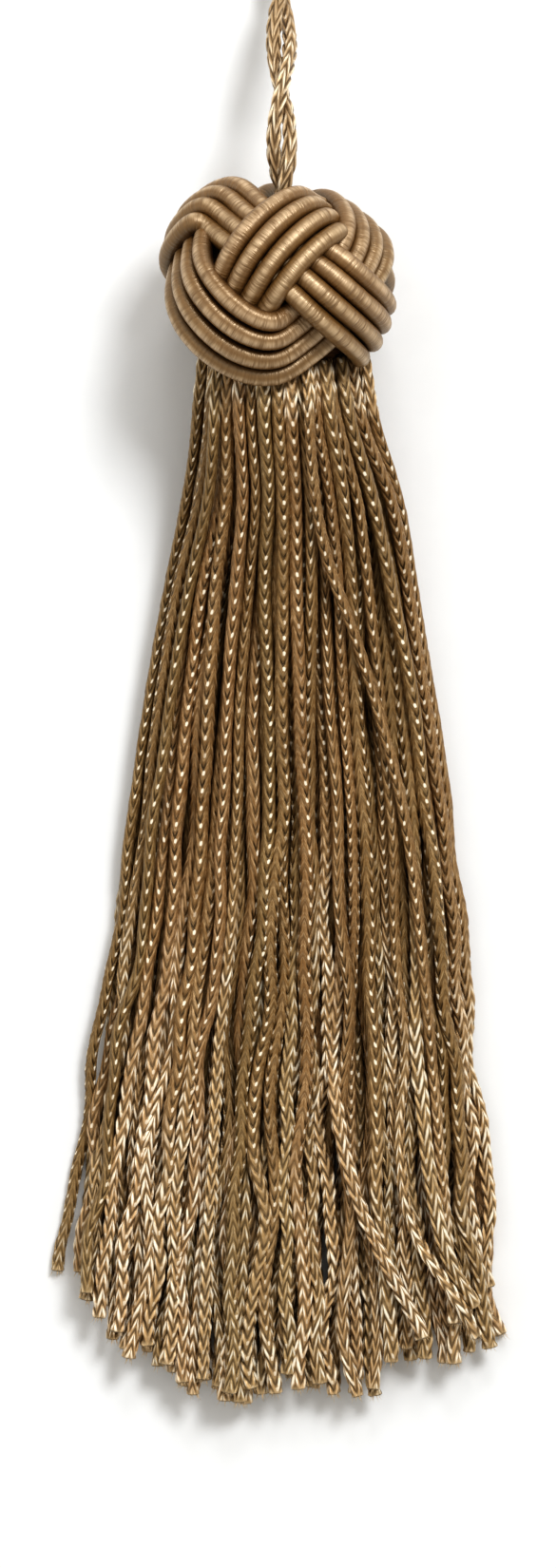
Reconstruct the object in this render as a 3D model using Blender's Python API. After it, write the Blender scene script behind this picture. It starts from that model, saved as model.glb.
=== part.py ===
"""Silk key tassel lying on a flat surface.

Three pieces: a ball knot laid four cords wide in wrapped gimp cord, a skirt of
knitted chainette strands rooted in a round heading under the knot, and a
hanging loop whose two legs are twisted round each other.

Frame: +Z up, the surface at z = 0, the origin under the middle of the head.
The skirt runs towards -Y and the loop towards +Y. Lengths are in millimetres
until the meshes are made, where MM turns them into metres.
"""

from collections import namedtuple

import bmesh
import bpy
import numpy as np

MM = 0.001

# ---------------------------------------------------------------- head knot
HEAD_RADIUS = 11.45          # middle of the cords, half way between over and under
HEAD_CENTRE_Z = 12.3         # the ball is pressed a little flat where it rests
HEAD_SQUASH = 0.93           # along its pole, against its width
HEAD_TILT = np.radians(12.0)  # the pole leans up from the surface
CORE_RADIUS = 10.2           # what shows dark between the cords
GIMP_RADIUS = 1.06
GIMP_PASSES = 4
GIMP_SPACING = 2.10
WEAVE_LIFT = 1.10            # how far an over cord rises, and an under cord sinks
WEAVE_SHARPNESS = 0.25       # smaller goes over and under more abruptly
KNOT_LATITUDE = np.radians(13.5)
KNOT_AMPLITUDE = np.radians(44.5)
KNOT_PHASE = np.radians(45.0)
KNOT_BLOOM = 0.10            # rounds the upper turns, in radians of longitude
NODE_STEP = 15.0             # degrees of travel between two nodes of the band
NODE_COUNT = 24
PASS_POINTS = 1200
BALL_SUBDIVISIONS = 7
HEAD_TRIANGLES = 5660

# The band's middle on the upper side, as seen from above, from the head's middle.
NearNode = namedtuple("NearNode", "x y")
NEAR_NODES = {
    "turn_45": NearNode(4.7, 7.1),
    "turn_315": NearNode(-6.1, 7.9),
    "upper_0": NearNode(-0.35, 3.2),
    "upper_90": NearNode(8.8, 6.0),
    "lower_45": NearNode(6.2, -2.5),
    "lower_315": NearNode(-6.2, -4.6),
    "foot_0": NearNode(0.6, -7.1),
}

# Nodes on the far side: moved along and up the ball, and pressed in.
FarNode = namedtuple("FarNode", "along up pressed")
FAR_NODES = {
    "turn_135": FarNode(0.0, -1.8, 1.2),
    "turn_225": FarNode(0.0, -1.2, 1.8),
    "foot_270": FarNode(0.5, 0.0, 1.8),
    "foot_90": FarNode(0.0, 0.0, 1.0),
    "lower_135": FarNode(1.4, 0.0, 0.0),
    "upper_180": FarNode(1.4, 0.0, 0.0),
    "foot_180": FarNode(1.4, 0.0, 0.0),
}
NODE_KINDS = ("turn", "upper", "lower", "foot", "lower", "upper")

# How far the head bulges or is pressed in, seen from above, every 45 degrees
# from +X round to +Y, as a share of its width. The middle keeps its places.
HEAD_SWELL = (-0.03, -0.13, -0.07, 0.0, 0.0, 0.08, 0.03, 0.04)
SWELL_STEP = 45.0
SWELL_FROM = 5.0
SWELL_TO = 12.0

# -------------------------------------------------------------------- skirt
STRAND_WIDTH = 1.66
STRAND_HALF_SIDE = 0.56
STRAND_COUNT = 90
STRAND_GAP = 0.17
SIDE_WANDER = 1.2            # how far a strand drifts sideways between two stations
SETTLE_ROUNDS = 260
SINK = 0.014                 # how far a strand drops in each settling round
HOLD_X = 0.04                # how firmly a strand keeps its place across, and up
HOLD_Z = 0.010
YIELD = 0.45                 # the share of an overlap that each strand gives way
PART_ROUNDS = 90
PART_STEP = 0.125            # steps along a span at which square strands are parted
GOLDEN_ANGLE = np.pi * (3 - np.sqrt(5))
HEADING_HALF_WIDTH = 8.9
HEADING_HALF_HEIGHT = 7.6
HEADING_DEPTH = 1.6
HEADING_REACH = 10.6         # from the head's middle to the heading's, down the pole
HEADING_SIDES = 32

Station = namedtuple("Station", "y left right height bottom stray")
STATIONS = (
    Station(-14.0, -9.4, 9.6, 15.4, 2.6, 0.0),
    Station(-22.0, -9.7, 12.2, 12.8, 0.9, 0.0),
    Station(-31.0, -12.2, 14.1, 9.9, 0.0, 0.0),
    Station(-44.0, -14.5, 16.4, 8.3, 0.0, 0.0),
    Station(-56.0, -16.2, 18.4, 7.4, 0.0, 0.0),
    Station(-68.0, -17.9, 19.7, 6.9, 0.0, 0.3),
    Station(-80.0, -20.1, 20.5, 6.4, 0.0, 0.9),
    Station(-92.0, -22.3, 21.8, 6.1, 0.0, 1.5),
    Station(-104.0, -24.0, 23.1, 5.8, 0.0, 2.2),
    Station(-118.0, -26.2, 25.4, 5.5, 0.0, 2.4),
)

# Where the longest strands end, across the skirt.
EndPoint = namedtuple("EndPoint", "x y")
END_LINE = (
    EndPoint(-24.5, -107.3),
    EndPoint(-21.0, -107.8),
    EndPoint(-18.0, -110.0),
    EndPoint(-15.5, -113.0),
    EndPoint(-11.5, -114.5),
    EndPoint(-8.5, -117.5),
    EndPoint(-3.0, -118.3),
    EndPoint(0.4, -116.0),
    EndPoint(4.5, -117.6),
    EndPoint(9.0, -117.2),
    EndPoint(10.5, -113.6),
    EndPoint(17.5, -114.0),
    EndPoint(24.5, -112.8),
)
TOP_END_SPREAD = 2.0         # upper strands end unevenly by this much
UNDER_END_SHORT = 4.0        # lower strands are shorter by this much more
UPPER_LAYER_Z = 2.4

# ------------------------------------------------------------- hanging loop
LOOP_DIAMETER = 1.6
TWIST_RADIUS = 0.88
TWIST_PITCH = 21.6
TWIST_PHASE = np.radians(10.0)
TWIST_END_Y = 62.0
LEG_START_Y = 9.8
LEG_STEP = 2.15
EYE_LENGTH = 13.0
EYE_HALF_WIDTH = 3.6
EYE_POINTS = 13

# The line that the twisted legs follow, from the head's hole to the surface.
AxisPoint = namedtuple("AxisPoint", "y z")
LOOP_AXIS = (
    AxisPoint(9.0, 14.3),
    AxisPoint(13.0, 14.9),
    AxisPoint(18.0, 14.0),
    AxisPoint(24.0, 10.6),
    AxisPoint(30.0, 6.4),
    AxisPoint(36.0, 3.3),
    AxisPoint(42.0, 2.0),
    AxisPoint(50.0, 1.75),
    AxisPoint(66.0, 1.75),
)
LOOP_X = 0.05
SLOPE_SPAN = 0.5             # half the length over which the line's slope is read

# ---------------------------------------------------------------- materials
Finish = namedtuple("Finish", "name colour roughness")
GIMP_FINISH = Finish("wrapped_gimp", (0.36, 0.22, 0.11, 1.0), 0.45)
STRAND_FINISH = Finish("chainette", (0.27, 0.17, 0.08, 1.0), 0.5)
LOOP_FINISH = Finish("loop_silk", (0.50, 0.37, 0.22, 1.0), 0.45)


def clear_scene():
    for item in list(bpy.data.objects):
        bpy.data.objects.remove(item, do_unlink=True)


def make_material(finish):
    material = bpy.data.materials.new(finish.name)
    material.use_nodes = True
    shader = material.node_tree.nodes["Principled BSDF"]
    shader.inputs["Base Color"].default_value = finish.colour
    shader.inputs["Roughness"].default_value = finish.roughness
    shader.inputs["Metallic"].default_value = 0.0
    return material


def add_object(name, data, finish=None):
    item = bpy.data.objects.new(name, data)
    bpy.context.scene.collection.objects.link(item)
    if finish is not None:
        data.materials.append(make_material(finish))
    return item


def hide_as_cutter(item):
    item.hide_render = True
    item.display_type = "WIRE"


def smooth_between(values, place):
    """Periodic curve through values, read at place (in steps between values)."""
    count = len(values)
    step = np.floor(place).astype(int)
    part = place - step
    before = values[(step - 1) % count]
    here = values[step % count]
    there = values[(step + 1) % count]
    after = values[(step + 2) % count]
    linear = (there - before) * part
    square = (2 * before - 5 * here + 4 * there - after) * part ** 2
    cube = (3 * here - before - 3 * there + after) * part ** 3
    return 0.5 * (2 * here + linear + square + cube)


# ---------------------------------------------------------------- head knot


def on_ball(longitude, latitude):
    """Unit vectors; longitude 0 faces up, the pole runs along the loop."""
    across = np.cos(latitude) * np.sin(longitude)
    along = np.sin(latitude)
    up = np.cos(latitude) * np.cos(longitude)
    return np.stack([across, along, up], axis=-1)


def lean(points):
    """Squash along the pole, then tip the pole up from the surface."""
    along = points[..., 1] * HEAD_SQUASH
    up = points[..., 2]
    y = along * np.cos(HEAD_TILT) - up * np.sin(HEAD_TILT)
    z = along * np.sin(HEAD_TILT) + up * np.cos(HEAD_TILT)
    return np.stack([points[..., 0], y, z], axis=-1)


def unlean(points):
    y = points[..., 1]
    z = points[..., 2]
    along = (y * np.cos(HEAD_TILT) + z * np.sin(HEAD_TILT)) / HEAD_SQUASH
    up = z * np.cos(HEAD_TILT) - y * np.sin(HEAD_TILT)
    return np.stack([points[..., 0], along, up], axis=-1)


def angles_seen_from_above(place):
    """Longitude and latitude of the point of the ball over (x, y)."""
    start = unlean(np.array([place.x, place.y, 0.0]))
    rise = unlean(np.array([0.0, 0.0, 1.0]))
    a = rise @ rise
    b = start @ rise
    c = start @ start - HEAD_RADIUS ** 2
    height = (-b + np.sqrt(b * b - a * c)) / a
    point = start + rise * height
    longitude = np.arctan2(point[0], point[2])
    latitude = np.arcsin(point[1] / HEAD_RADIUS)
    return longitude, latitude


def even_band(travel):
    """Longitude and latitude of an even three-lead, four-turn knot."""
    latitude = KNOT_LATITUDE + KNOT_AMPLITUDE * np.cos(4 * travel)
    longitude = KNOT_PHASE + 3 * travel + KNOT_BLOOM * np.sin(4 * travel)
    return longitude, latitude


def node_shift(index):
    """How far the hand-laid band leaves the even one at a node."""
    meridian = (45 + 45 * index) % 360
    name = f"{NODE_KINDS[index % len(NODE_KINDS)]}_{meridian}"
    longitude, latitude = even_band(np.radians(NODE_STEP * index))
    if name in NEAR_NODES:
        wanted_longitude, wanted_latitude = angles_seen_from_above(NEAR_NODES[name])
        turn = (wanted_longitude - longitude + np.pi) % (2 * np.pi) - np.pi
        return turn, wanted_latitude - latitude, 0.0
    shift = FAR_NODES.get(name, FarNode(0.0, 0.0, 0.0))
    turn = np.radians(45 + 45 * index) - longitude
    turn += shift.along / (HEAD_RADIUS * np.cos(latitude))
    return turn, shift.up / HEAD_RADIUS, shift.pressed


def ease(low, high, value):
    """0 below low, 1 above high and a smooth step between."""
    part = np.clip((value - low) / (high - low), 0.0, 1.0)
    return part * part * (3 - 2 * part)


def swell(points):
    """Bulge or press in the head's rim as HEAD_SWELL says."""
    azimuth = np.degrees(np.arctan2(points[..., 1], points[..., 0])) % 360
    share = smooth_between(np.array(HEAD_SWELL), azimuth / SWELL_STEP)
    out = np.hypot(points[..., 0], points[..., 1])
    wider = 1 + share * ease(SWELL_FROM, SWELL_TO, out)
    return points * np.stack([wider, wider, np.ones_like(wider)], axis=-1)


def gimp_passes(points):
    """Centre lines of the parallel cords, round the head's own middle."""
    travel = np.linspace(0, 2 * np.pi, points, endpoint=False)
    shifts = np.array([node_shift(index) for index in range(NODE_COUNT)])
    place = np.degrees(travel) / NODE_STEP
    longitude, latitude = even_band(travel)
    longitude = longitude + smooth_between(shifts[:, 0], place)
    latitude = latitude + smooth_between(shifts[:, 1], place)
    middle = on_ball(longitude, latitude)
    heading = np.roll(middle, -1, axis=0) - np.roll(middle, 1, axis=0)
    heading /= np.linalg.norm(heading, axis=1)[:, None]
    side = np.cross(middle, heading)
    wave = np.sin(8 * travel)
    radius = HEAD_RADIUS - WEAVE_LIFT * wave / np.sqrt(wave ** 2 + WEAVE_SHARPNESS)
    radius = radius - smooth_between(shifts[:, 2], place)
    passes = []
    for index in range(GIMP_PASSES):
        angle = (index - (GIMP_PASSES - 1) / 2) * GIMP_SPACING / HEAD_RADIUS
        laid = middle * np.cos(angle) + side * np.sin(angle)
        passes.append(swell(lean(laid * radius[:, None])))
    return passes


def knot_reach(directions):
    """Distance from the head's middle to its surface along unit directions."""
    core = directions * (CORE_RADIUS / np.linalg.norm(unlean(directions), axis=1))[:, None]
    reach = np.minimum(np.linalg.norm(swell(core), axis=1), np.linalg.norm(core, axis=1))
    for centres in gimp_passes(PASS_POINTS):
        along = directions @ centres.T
        gap = (centres ** 2).sum(axis=1)[None, :] - along ** 2
        inside = GIMP_RADIUS ** 2 - gap
        hit = along + np.sqrt(np.maximum(inside, 0.0))
        hit[(inside < 0) | (along < 0)] = 0.0
        reach = np.maximum(reach, hit.max(axis=1))
    return reach


def build_head():
    mesh = bpy.data.meshes.new("head_knot")
    shape = bmesh.new()
    bmesh.ops.create_icosphere(shape, subdivisions=BALL_SUBDIVISIONS, radius=1.0)
    directions = np.array([vertex.co[:] for vertex in shape.verts])
    directions /= np.linalg.norm(directions, axis=1)[:, None]
    reach = knot_reach(directions)
    for vertex, direction, distance in zip(shape.verts, directions, reach):
        vertex.co = direction * distance * MM
    full_count = len(shape.faces)
    shape.to_mesh(mesh)
    shape.free()
    head = add_object("head_knot", mesh, GIMP_FINISH)
    head.location = (0.0, 0.0, HEAD_CENTRE_Z * MM)
    thin = head.modifiers.new("fewer_faces", "DECIMATE")
    thin.ratio = HEAD_TRIANGLES / full_count
    press = head.modifiers.new("resting_flat", "BOOLEAN")
    press.operation = "DIFFERENCE"
    press.object = build_surface_cutter()
    mesh.shade_smooth()
    return head


def build_surface_cutter():
    size = 4 * HEAD_RADIUS * MM
    shape = bmesh.new()
    bmesh.ops.create_cube(shape, size=size)
    mesh = bpy.data.meshes.new("surface_cutter")
    shape.to_mesh(mesh)
    shape.free()
    cutter = add_object("surface_cutter", mesh)
    cutter.location = (0.0, 0.0, -size / 2)
    hide_as_cutter(cutter)
    return cutter


# -------------------------------------------------------------------- skirt


def spread_number(index, salt):
    """A fixed, well mixed number from 0 to 1 for each strand and station."""
    value = np.sin(index * 12.9898 + salt * 78.233) * 43758.5453
    return value - np.floor(value)


def push_apart(places):
    """Move each pair that lies closer than a strand's width away from each other."""
    apart = places[:, None, :] - places[None, :, :]
    distance = np.sqrt((apart ** 2).sum(axis=-1))
    np.fill_diagonal(distance, np.inf)
    lack = np.maximum(STRAND_WIDTH - distance, 0.0)
    push = apart / distance[..., None].clip(1e-6) * lack[..., None]
    return places + YIELD * push.sum(axis=1)


def keep_inside(places, station, rims):
    """Keep the strands between the outline's sides, with one along each side."""
    margin = STRAND_WIDTH / 2
    left = np.full(len(places), station.left + margin + station.stray)
    right = np.full(len(places), station.right - margin)
    left[rims[0]] = right[rims[0]] = station.left + margin
    left[rims[1]] = station.right - margin
    places[:, 0] = places[:, 0].clip(left, right)
    places[:, 1] = np.maximum(places[:, 1], station.bottom + margin)
    return places


def settle(places, station, rims):
    """Let the strands of one cross-section sink and make room for each other."""
    wanted = places.copy()
    for _ in range(SETTLE_ROUNDS):
        places[:, 1] -= SINK
        places += (wanted - places) * (HOLD_X, HOLD_Z)
        for _ in range(2):
            places = push_apart(places)
            places = keep_inside(places, station, rims)
    return places


def neck_places():
    """Strands spread evenly over the round neck of the skirt."""
    station = STATIONS[0]
    index = np.arange(STRAND_COUNT)
    radius = np.sqrt((index + 0.5) / STRAND_COUNT)
    angle = index * GOLDEN_ANGLE
    half_width = (station.right - station.left - STRAND_WIDTH) / 2
    half_height = (station.height - STRAND_WIDTH) / 2
    x = (station.left + station.right) / 2 + half_width * radius * np.cos(angle)
    z = station.bottom + station.height / 2 + half_height * radius * np.sin(angle)
    return np.stack([x, z], axis=1)


def carry_on(places, before, station, salt):
    """Scale one cross-section to the next one's size and let strands drift."""
    middle = (station.left + station.right) / 2
    middle_before = (before.left + before.right) / 2
    widen = (station.right - station.left) / (before.right - before.left)
    moved = places.copy()
    moved[:, 0] = middle + (places[:, 0] - middle_before) * widen
    moved[:, 1] = station.bottom + (places[:, 1] - before.bottom) * station.height / before.height
    moved[:, 0] += (spread_number(np.arange(STRAND_COUNT), salt) - 0.5) * SIDE_WANDER
    return moved


def part_squares(sections):
    """Clear the square strands of each other at and between the stations."""
    need = 2 * STRAND_HALF_SIDE + STRAND_GAP
    for _ in range(PART_ROUNDS):
        for part in np.arange(0.0, 1.0, PART_STEP):
            for index in range(len(sections) - 1):
                nudge_span(sections, index, part, need)
        for section, station in zip(sections, STATIONS):
            section[:, 1] = np.maximum(section[:, 1], station.bottom + STRAND_WIDTH / 2)
    return sections


def nudge_span(sections, index, part, need):
    places = sections[index] * (1 - part) + sections[index + 1] * part
    apart = places[:, None, :] - places[None, :, :]
    size = np.abs(apart)
    reach = size.max(axis=-1)
    np.fill_diagonal(reach, np.inf)
    lack = np.maximum(need - reach, 0.0) * YIELD
    if not lack.any():
        return
    upward = size[..., 1] > size[..., 0]
    sign = np.where(apart >= 0, 1.0, -1.0)
    across = (np.where(upward, 0.0, lack) * sign[..., 0]).sum(axis=1)
    lift = (np.where(upward, lack, 0.0) * sign[..., 1]).sum(axis=1)
    nudge = np.stack([across, lift], axis=1) / ((1 - part) ** 2 + part ** 2)
    sections[index] += nudge * (1 - part)
    sections[index + 1] += nudge * part


def skirt_sections():
    """Places (x, z) of every strand at every station, station by station."""
    places = neck_places()
    rims = int(places[:, 0].argmin()), int(places[:, 0].argmax())
    sections = [places]
    for salt in range(1, len(STATIONS)):
        station = STATIONS[salt]
        places = carry_on(sections[-1], STATIONS[salt - 1], station, salt)
        sections.append(settle(places, station, rims))
    return part_squares(sections)


def end_of(index, x, z):
    """How far down the skirt a strand reaches."""
    line = np.interp(x, [point.x for point in END_LINE], [point.y for point in END_LINE])
    shorter = TOP_END_SPREAD * spread_number(index, 50) ** 2
    if z < UPPER_LAYER_Z:
        shorter += UNDER_END_SHORT * (0.3 + spread_number(index, 51))
    return line + shorter


def heading_middle():
    y = -HEADING_REACH * np.cos(HEAD_TILT)
    z = HEAD_CENTRE_Z - HEADING_REACH * np.sin(HEAD_TILT)
    return y, z


def strand_route(index, sections):
    """Centre points of one strand from its root to its cut end."""
    x, z = sections[0][index]
    middle_y, middle_z = heading_middle()
    root_y = middle_y - (z - middle_z) * np.tan(HEAD_TILT)
    route = [(x, root_y, z)]
    for section, station in zip(sections, STATIONS):
        route.append((section[index][0], station.y, section[index][1]))
    return cut_to_length(route, end_of(index, *sections[-2][index]))


def cut_to_length(route, end_y):
    kept = [point for point in route if point[1] > end_y + 1.0]
    before = kept[-1]
    after = route[len(kept)]
    part = (before[1] - end_y) / (before[1] - after[1])
    end_x = before[0] + (after[0] - before[0]) * part
    end_z = before[2] + (after[2] - before[2]) * part
    return kept + [(end_x, end_y, end_z)]


def add_strand(shape, route):
    """One four-sided strand, level across, closed at both ends."""
    settled = STRAND_WIDTH / 2 - STRAND_HALF_SIDE
    rings = []
    half = STRAND_HALF_SIDE
    corners = ((-half, -half), (half, -half), (half, half), (-half, half))
    for x, y, z in route:
        low = z - settled
        ring = [shape.verts.new(((x + a) * MM, y * MM, (low + b) * MM)) for a, b in corners]
        rings.append(ring)
    for first, second in zip(rings, rings[1:]):
        for side in range(4):
            turn = (side + 1) % 4
            shape.faces.new((first[side], first[turn], second[turn], second[side]))
    shape.faces.new(rings[0][::-1])
    shape.faces.new(rings[-1])


def build_strands():
    shape = bmesh.new()
    sections = skirt_sections()
    for index in range(STRAND_COUNT):
        add_strand(shape, strand_route(index, sections))
    bmesh.ops.recalc_face_normals(shape, faces=shape.faces)
    bmesh.ops.triangulate(shape, faces=shape.faces)
    mesh = bpy.data.meshes.new("strands")
    shape.to_mesh(mesh)
    shape.free()
    strands = add_object("strands", mesh)
    hide_as_cutter(strands)
    return strands


def build_skirt():
    """The oval heading, with every strand's root grown into it."""
    shape = bmesh.new()
    bmesh.ops.create_cone(
        shape,
        cap_ends=True,
        segments=HEADING_SIDES,
        radius1=HEADING_HALF_WIDTH * MM,
        radius2=HEADING_HALF_WIDTH * MM,
        depth=HEADING_DEPTH * MM,
    )
    oval = (1.0, HEADING_HALF_HEIGHT / HEADING_HALF_WIDTH, 1.0)
    bmesh.ops.scale(shape, vec=oval, verts=shape.verts)
    mesh = bpy.data.meshes.new("skirt")
    shape.to_mesh(mesh)
    shape.free()
    skirt = add_object("skirt", mesh, STRAND_FINISH)
    middle_y, middle_z = heading_middle()
    skirt.location = (0.0, middle_y * MM, middle_z * MM)
    skirt.rotation_euler = (np.pi / 2 + HEAD_TILT, 0.0, 0.0)
    grow = skirt.modifiers.new("strand_roots", "BOOLEAN")
    grow.operation = "UNION"
    grow.object = build_strands()
    return skirt


# ------------------------------------------------------------- hanging loop


def axis_height(y):
    """Height of the twisted legs' middle line, smoothed through LOOP_AXIS."""
    known_y = np.array([point.y for point in LOOP_AXIS])
    known_z = np.array([point.z for point in LOOP_AXIS])
    slope = np.gradient(known_z, known_y)
    place = np.clip(np.searchsorted(known_y, y) - 1, 0, len(known_y) - 2)
    span = known_y[place + 1] - known_y[place]
    part = (y - known_y[place]) / span
    rise = known_z[place + 1] - known_z[place]
    return (
        known_z[place]
        + rise * (3 * part ** 2 - 2 * part ** 3)
        + span * slope[place] * (part - 2 * part ** 2 + part ** 3)
        + span * slope[place + 1] * (part ** 3 - part ** 2)
    )


def leg_point(y, phase):
    """A point of one leg, held square to the line that both legs follow."""
    angle = 2 * np.pi * (y - LEG_START_Y) / TWIST_PITCH + TWIST_PHASE + phase
    rise = axis_height(y + SLOPE_SPAN) - axis_height(y - SLOPE_SPAN)
    steep = np.arctan2(rise, 2 * SLOPE_SPAN)
    lift = TWIST_RADIUS * np.cos(angle)
    x = LOOP_X + TWIST_RADIUS * np.sin(angle)
    return (x, y - lift * np.sin(steep), axis_height(y) + lift * np.cos(steep))


def eye_points():
    """The open end of the loop, from the end of one leg to the other's."""
    first = leg_point(TWIST_END_Y, 0.0)
    last = leg_point(TWIST_END_Y, np.pi)
    side = np.sign(first[0] - last[0])
    points = []
    for part in np.linspace(0, 1, EYE_POINTS)[1:-1]:
        turn = np.pi * part
        bulge = side * EYE_HALF_WIDTH * np.cos(turn) * np.sin(turn) ** 0.6
        blend = 0.5 + 0.5 * np.cos(turn)
        x = LOOP_X + (first[0] - last[0]) / 2 * np.cos(turn) + bulge
        y = TWIST_END_Y + EYE_LENGTH * np.sin(turn)
        z = last[2] + (first[2] - last[2]) * blend
        points.append((x, y, z))
    return points


def loop_route():
    steps = int(round((TWIST_END_Y - LEG_START_Y) / LEG_STEP))
    along = np.linspace(LEG_START_Y, TWIST_END_Y, steps + 1)
    out = [leg_point(y, 0.0) for y in along]
    back = [leg_point(y, np.pi) for y in along[::-1]]
    return out + eye_points() + back


def build_loop():
    curve = bpy.data.curves.new("hanging_loop", "CURVE")
    curve.dimensions = "3D"
    curve.bevel_depth = LOOP_DIAMETER / 2 * MM
    curve.bevel_resolution = 2
    curve.use_fill_caps = True
    route = loop_route()
    spline = curve.splines.new("POLY")
    spline.points.add(len(route) - 1)
    for point, (x, y, z) in zip(spline.points, route):
        point.co = (x * MM, y * MM, z * MM, 1.0)
    return add_object("hanging_loop", curve, LOOP_FINISH)


def main():
    clear_scene()
    build_head()
    build_skirt()
    build_loop()


main()
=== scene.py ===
"""Silk key tassel: the dressed knot head, the skirt of strands and the hanging loop.

The frame is the part's own: +Z up, the surface at z = 0, the origin under the
middle of the head, the skirt towards -Y and the loop towards +Y. Lengths are in
millimetres until a mesh is filled, where MM turns them into metres.
"""

import logging
from dataclasses import dataclass, field
from enum import Enum, IntEnum
from functools import reduce
from typing import NamedTuple

import bpy
import numpy as np
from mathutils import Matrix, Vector


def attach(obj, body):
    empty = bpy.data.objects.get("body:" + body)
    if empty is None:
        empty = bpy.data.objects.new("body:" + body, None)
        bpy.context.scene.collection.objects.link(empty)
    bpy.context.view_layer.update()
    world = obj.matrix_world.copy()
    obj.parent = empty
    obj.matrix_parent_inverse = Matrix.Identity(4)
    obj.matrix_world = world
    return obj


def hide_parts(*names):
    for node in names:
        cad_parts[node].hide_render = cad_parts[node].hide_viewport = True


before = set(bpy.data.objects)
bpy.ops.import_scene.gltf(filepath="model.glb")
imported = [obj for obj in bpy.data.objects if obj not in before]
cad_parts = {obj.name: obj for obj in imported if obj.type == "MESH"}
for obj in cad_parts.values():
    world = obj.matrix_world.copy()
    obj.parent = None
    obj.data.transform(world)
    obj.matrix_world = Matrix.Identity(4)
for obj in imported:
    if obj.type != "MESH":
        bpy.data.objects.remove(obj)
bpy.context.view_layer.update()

MM = 0.001
log = logging.getLogger("tassel")

Array = np.ndarray
Material = bpy.types.Material
Node = bpy.types.Node
NodeTree = bpy.types.NodeTree
Socket = bpy.types.NodeSocket
Colour = tuple[float, float, float]
Span = tuple[float, float]


# -------- meshes


@dataclass
class Surface:
    """A surface of triangles in millimetres, three point numbers a row.

    Its values are numbers for each point that the finishes read, by name. Laid
    holds turns round a cord and length along it, for each triangle's corners.
    """

    points: Array
    triangles: Array
    values: dict[str, Array] = field(default_factory=dict)
    laid: Array | None = None

    def facing_out(self) -> "Surface":
        """Turn the triangles outwards.

        Returns:
            The surface itself.
        """
        a, b, c = (self.points[self.triangles[:, side]] for side in range(3))
        if np.einsum("ij,ij->i", a, np.cross(b, c)).sum() < 0:
            self.triangles = self.triangles[:, ::-1]
            if self.laid is not None:
                self.laid = self.laid[:, ::-1]
        return self


def join_surfaces(parts: list[Surface]) -> Surface:
    """Join several surfaces that carry the same values.

    Args:
        parts: The surfaces, in order.

    Returns:
        One surface with all their triangles.
    """
    starts = np.cumsum([0] + [len(part.points) for part in parts[:-1]])
    triangles = [part.triangles + start for part, start in zip(parts, starts)]
    values = {name: np.concatenate([part.values[name] for part in parts]) for name in parts[0].values}
    laid = None if parts[0].laid is None else np.concatenate([part.laid for part in parts])
    points = np.concatenate([part.points for part in parts])
    return Surface(points, np.concatenate(triangles), values, laid)


def make_piece(name: str, surface: Surface, material: Material) -> bpy.types.Object:
    """Fill a mesh from a surface and put it in the scene.

    Args:
        name: The piece's name.
        surface: Its triangles, in millimetres.
        material: The finish that it wears.

    Returns:
        The new object.
    """
    mesh = bpy.data.meshes.new(name)
    corners = surface.triangles.astype(np.int32).ravel()
    count = len(surface.triangles)
    mesh.vertices.add(len(surface.points))
    mesh.vertices.foreach_set("co", (surface.points * MM).astype(np.float32).ravel())
    mesh.loops.add(len(corners))
    mesh.loops.foreach_set("vertex_index", corners)
    mesh.polygons.add(count)
    mesh.polygons.foreach_set("loop_start", np.arange(0, count * 3, 3, dtype=np.int32))
    mesh.update(calc_edges=True)
    for key, numbers in surface.values.items():
        layer = mesh.attributes.new(key, "FLOAT", "POINT")
        layer.data.foreach_set("value", numbers.astype(np.float32))
    if surface.laid is not None:
        layer = mesh.uv_layers.new(name="laid")
        layer.data.foreach_set("uv", surface.laid.astype(np.float32).ravel())
    mesh.shade_smooth()
    mesh.materials.append(material)
    piece = bpy.data.objects.new(name, mesh)
    bpy.context.scene.collection.objects.link(piece)
    log.info("%s: %d triangles", name, count)
    return piece


def unit(rows: Array) -> Array:
    """Return each row at length one."""
    return rows / np.linalg.norm(rows, axis=-1, keepdims=True)


def spread_number(index: Array | int, salt: float) -> Array:
    """Return a fixed, well mixed number from 0 to 1 for each index and salt."""
    value = np.sin(index * 12.9898 + salt * 78.233) * 43758.5453
    return value - np.floor(value)


def ease(low: float, high: float, value: Array) -> Array:
    """Return 0 below low, 1 above high and a smooth step between."""
    part = np.clip((value - low) / (high - low), 0.0, 1.0)
    return part * part * (3 - 2 * part)


def bell(half: int, step: float, spread: float) -> Array:
    """Return the weights, adding up to one, of a bell curve of half steps each way."""
    weight = np.exp(-0.5 * (np.arange(-half, half + 1) * step / spread) ** 2)
    return weight / weight.sum()


def along_line(points: Array) -> Array:
    """Return how far along its line each point lies."""
    steps = np.linalg.norm(np.diff(points, axis=0), axis=1)
    return np.concatenate([[0.0], np.cumsum(steps)])


def stacked_rings(points: Array, sides: int) -> Surface:
    """Close a surface over rings that lie one above the other between two poles.

    Args:
        points: The first pole, the rings' points in order, and the last pole.
        sides: How many points a ring has.

    Returns:
        The closed surface.
    """
    last = len(points) - 1
    rings = np.arange(1, last).reshape(-1, sides)
    triangles = [np.stack([np.zeros(sides, int), rings[0], np.roll(rings[0], -1)], axis=1)]
    for low, high in zip(rings, rings[1:]):
        triangles.append(np.stack([low, high, np.roll(high, -1)], axis=1))
        triangles.append(np.stack([low, np.roll(high, -1), np.roll(low, -1)], axis=1))
    triangles.append(np.stack([rings[-1], np.full(sides, last), np.roll(rings[-1], -1)], axis=1))
    return Surface(points, np.concatenate(triangles)).facing_out()


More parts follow.
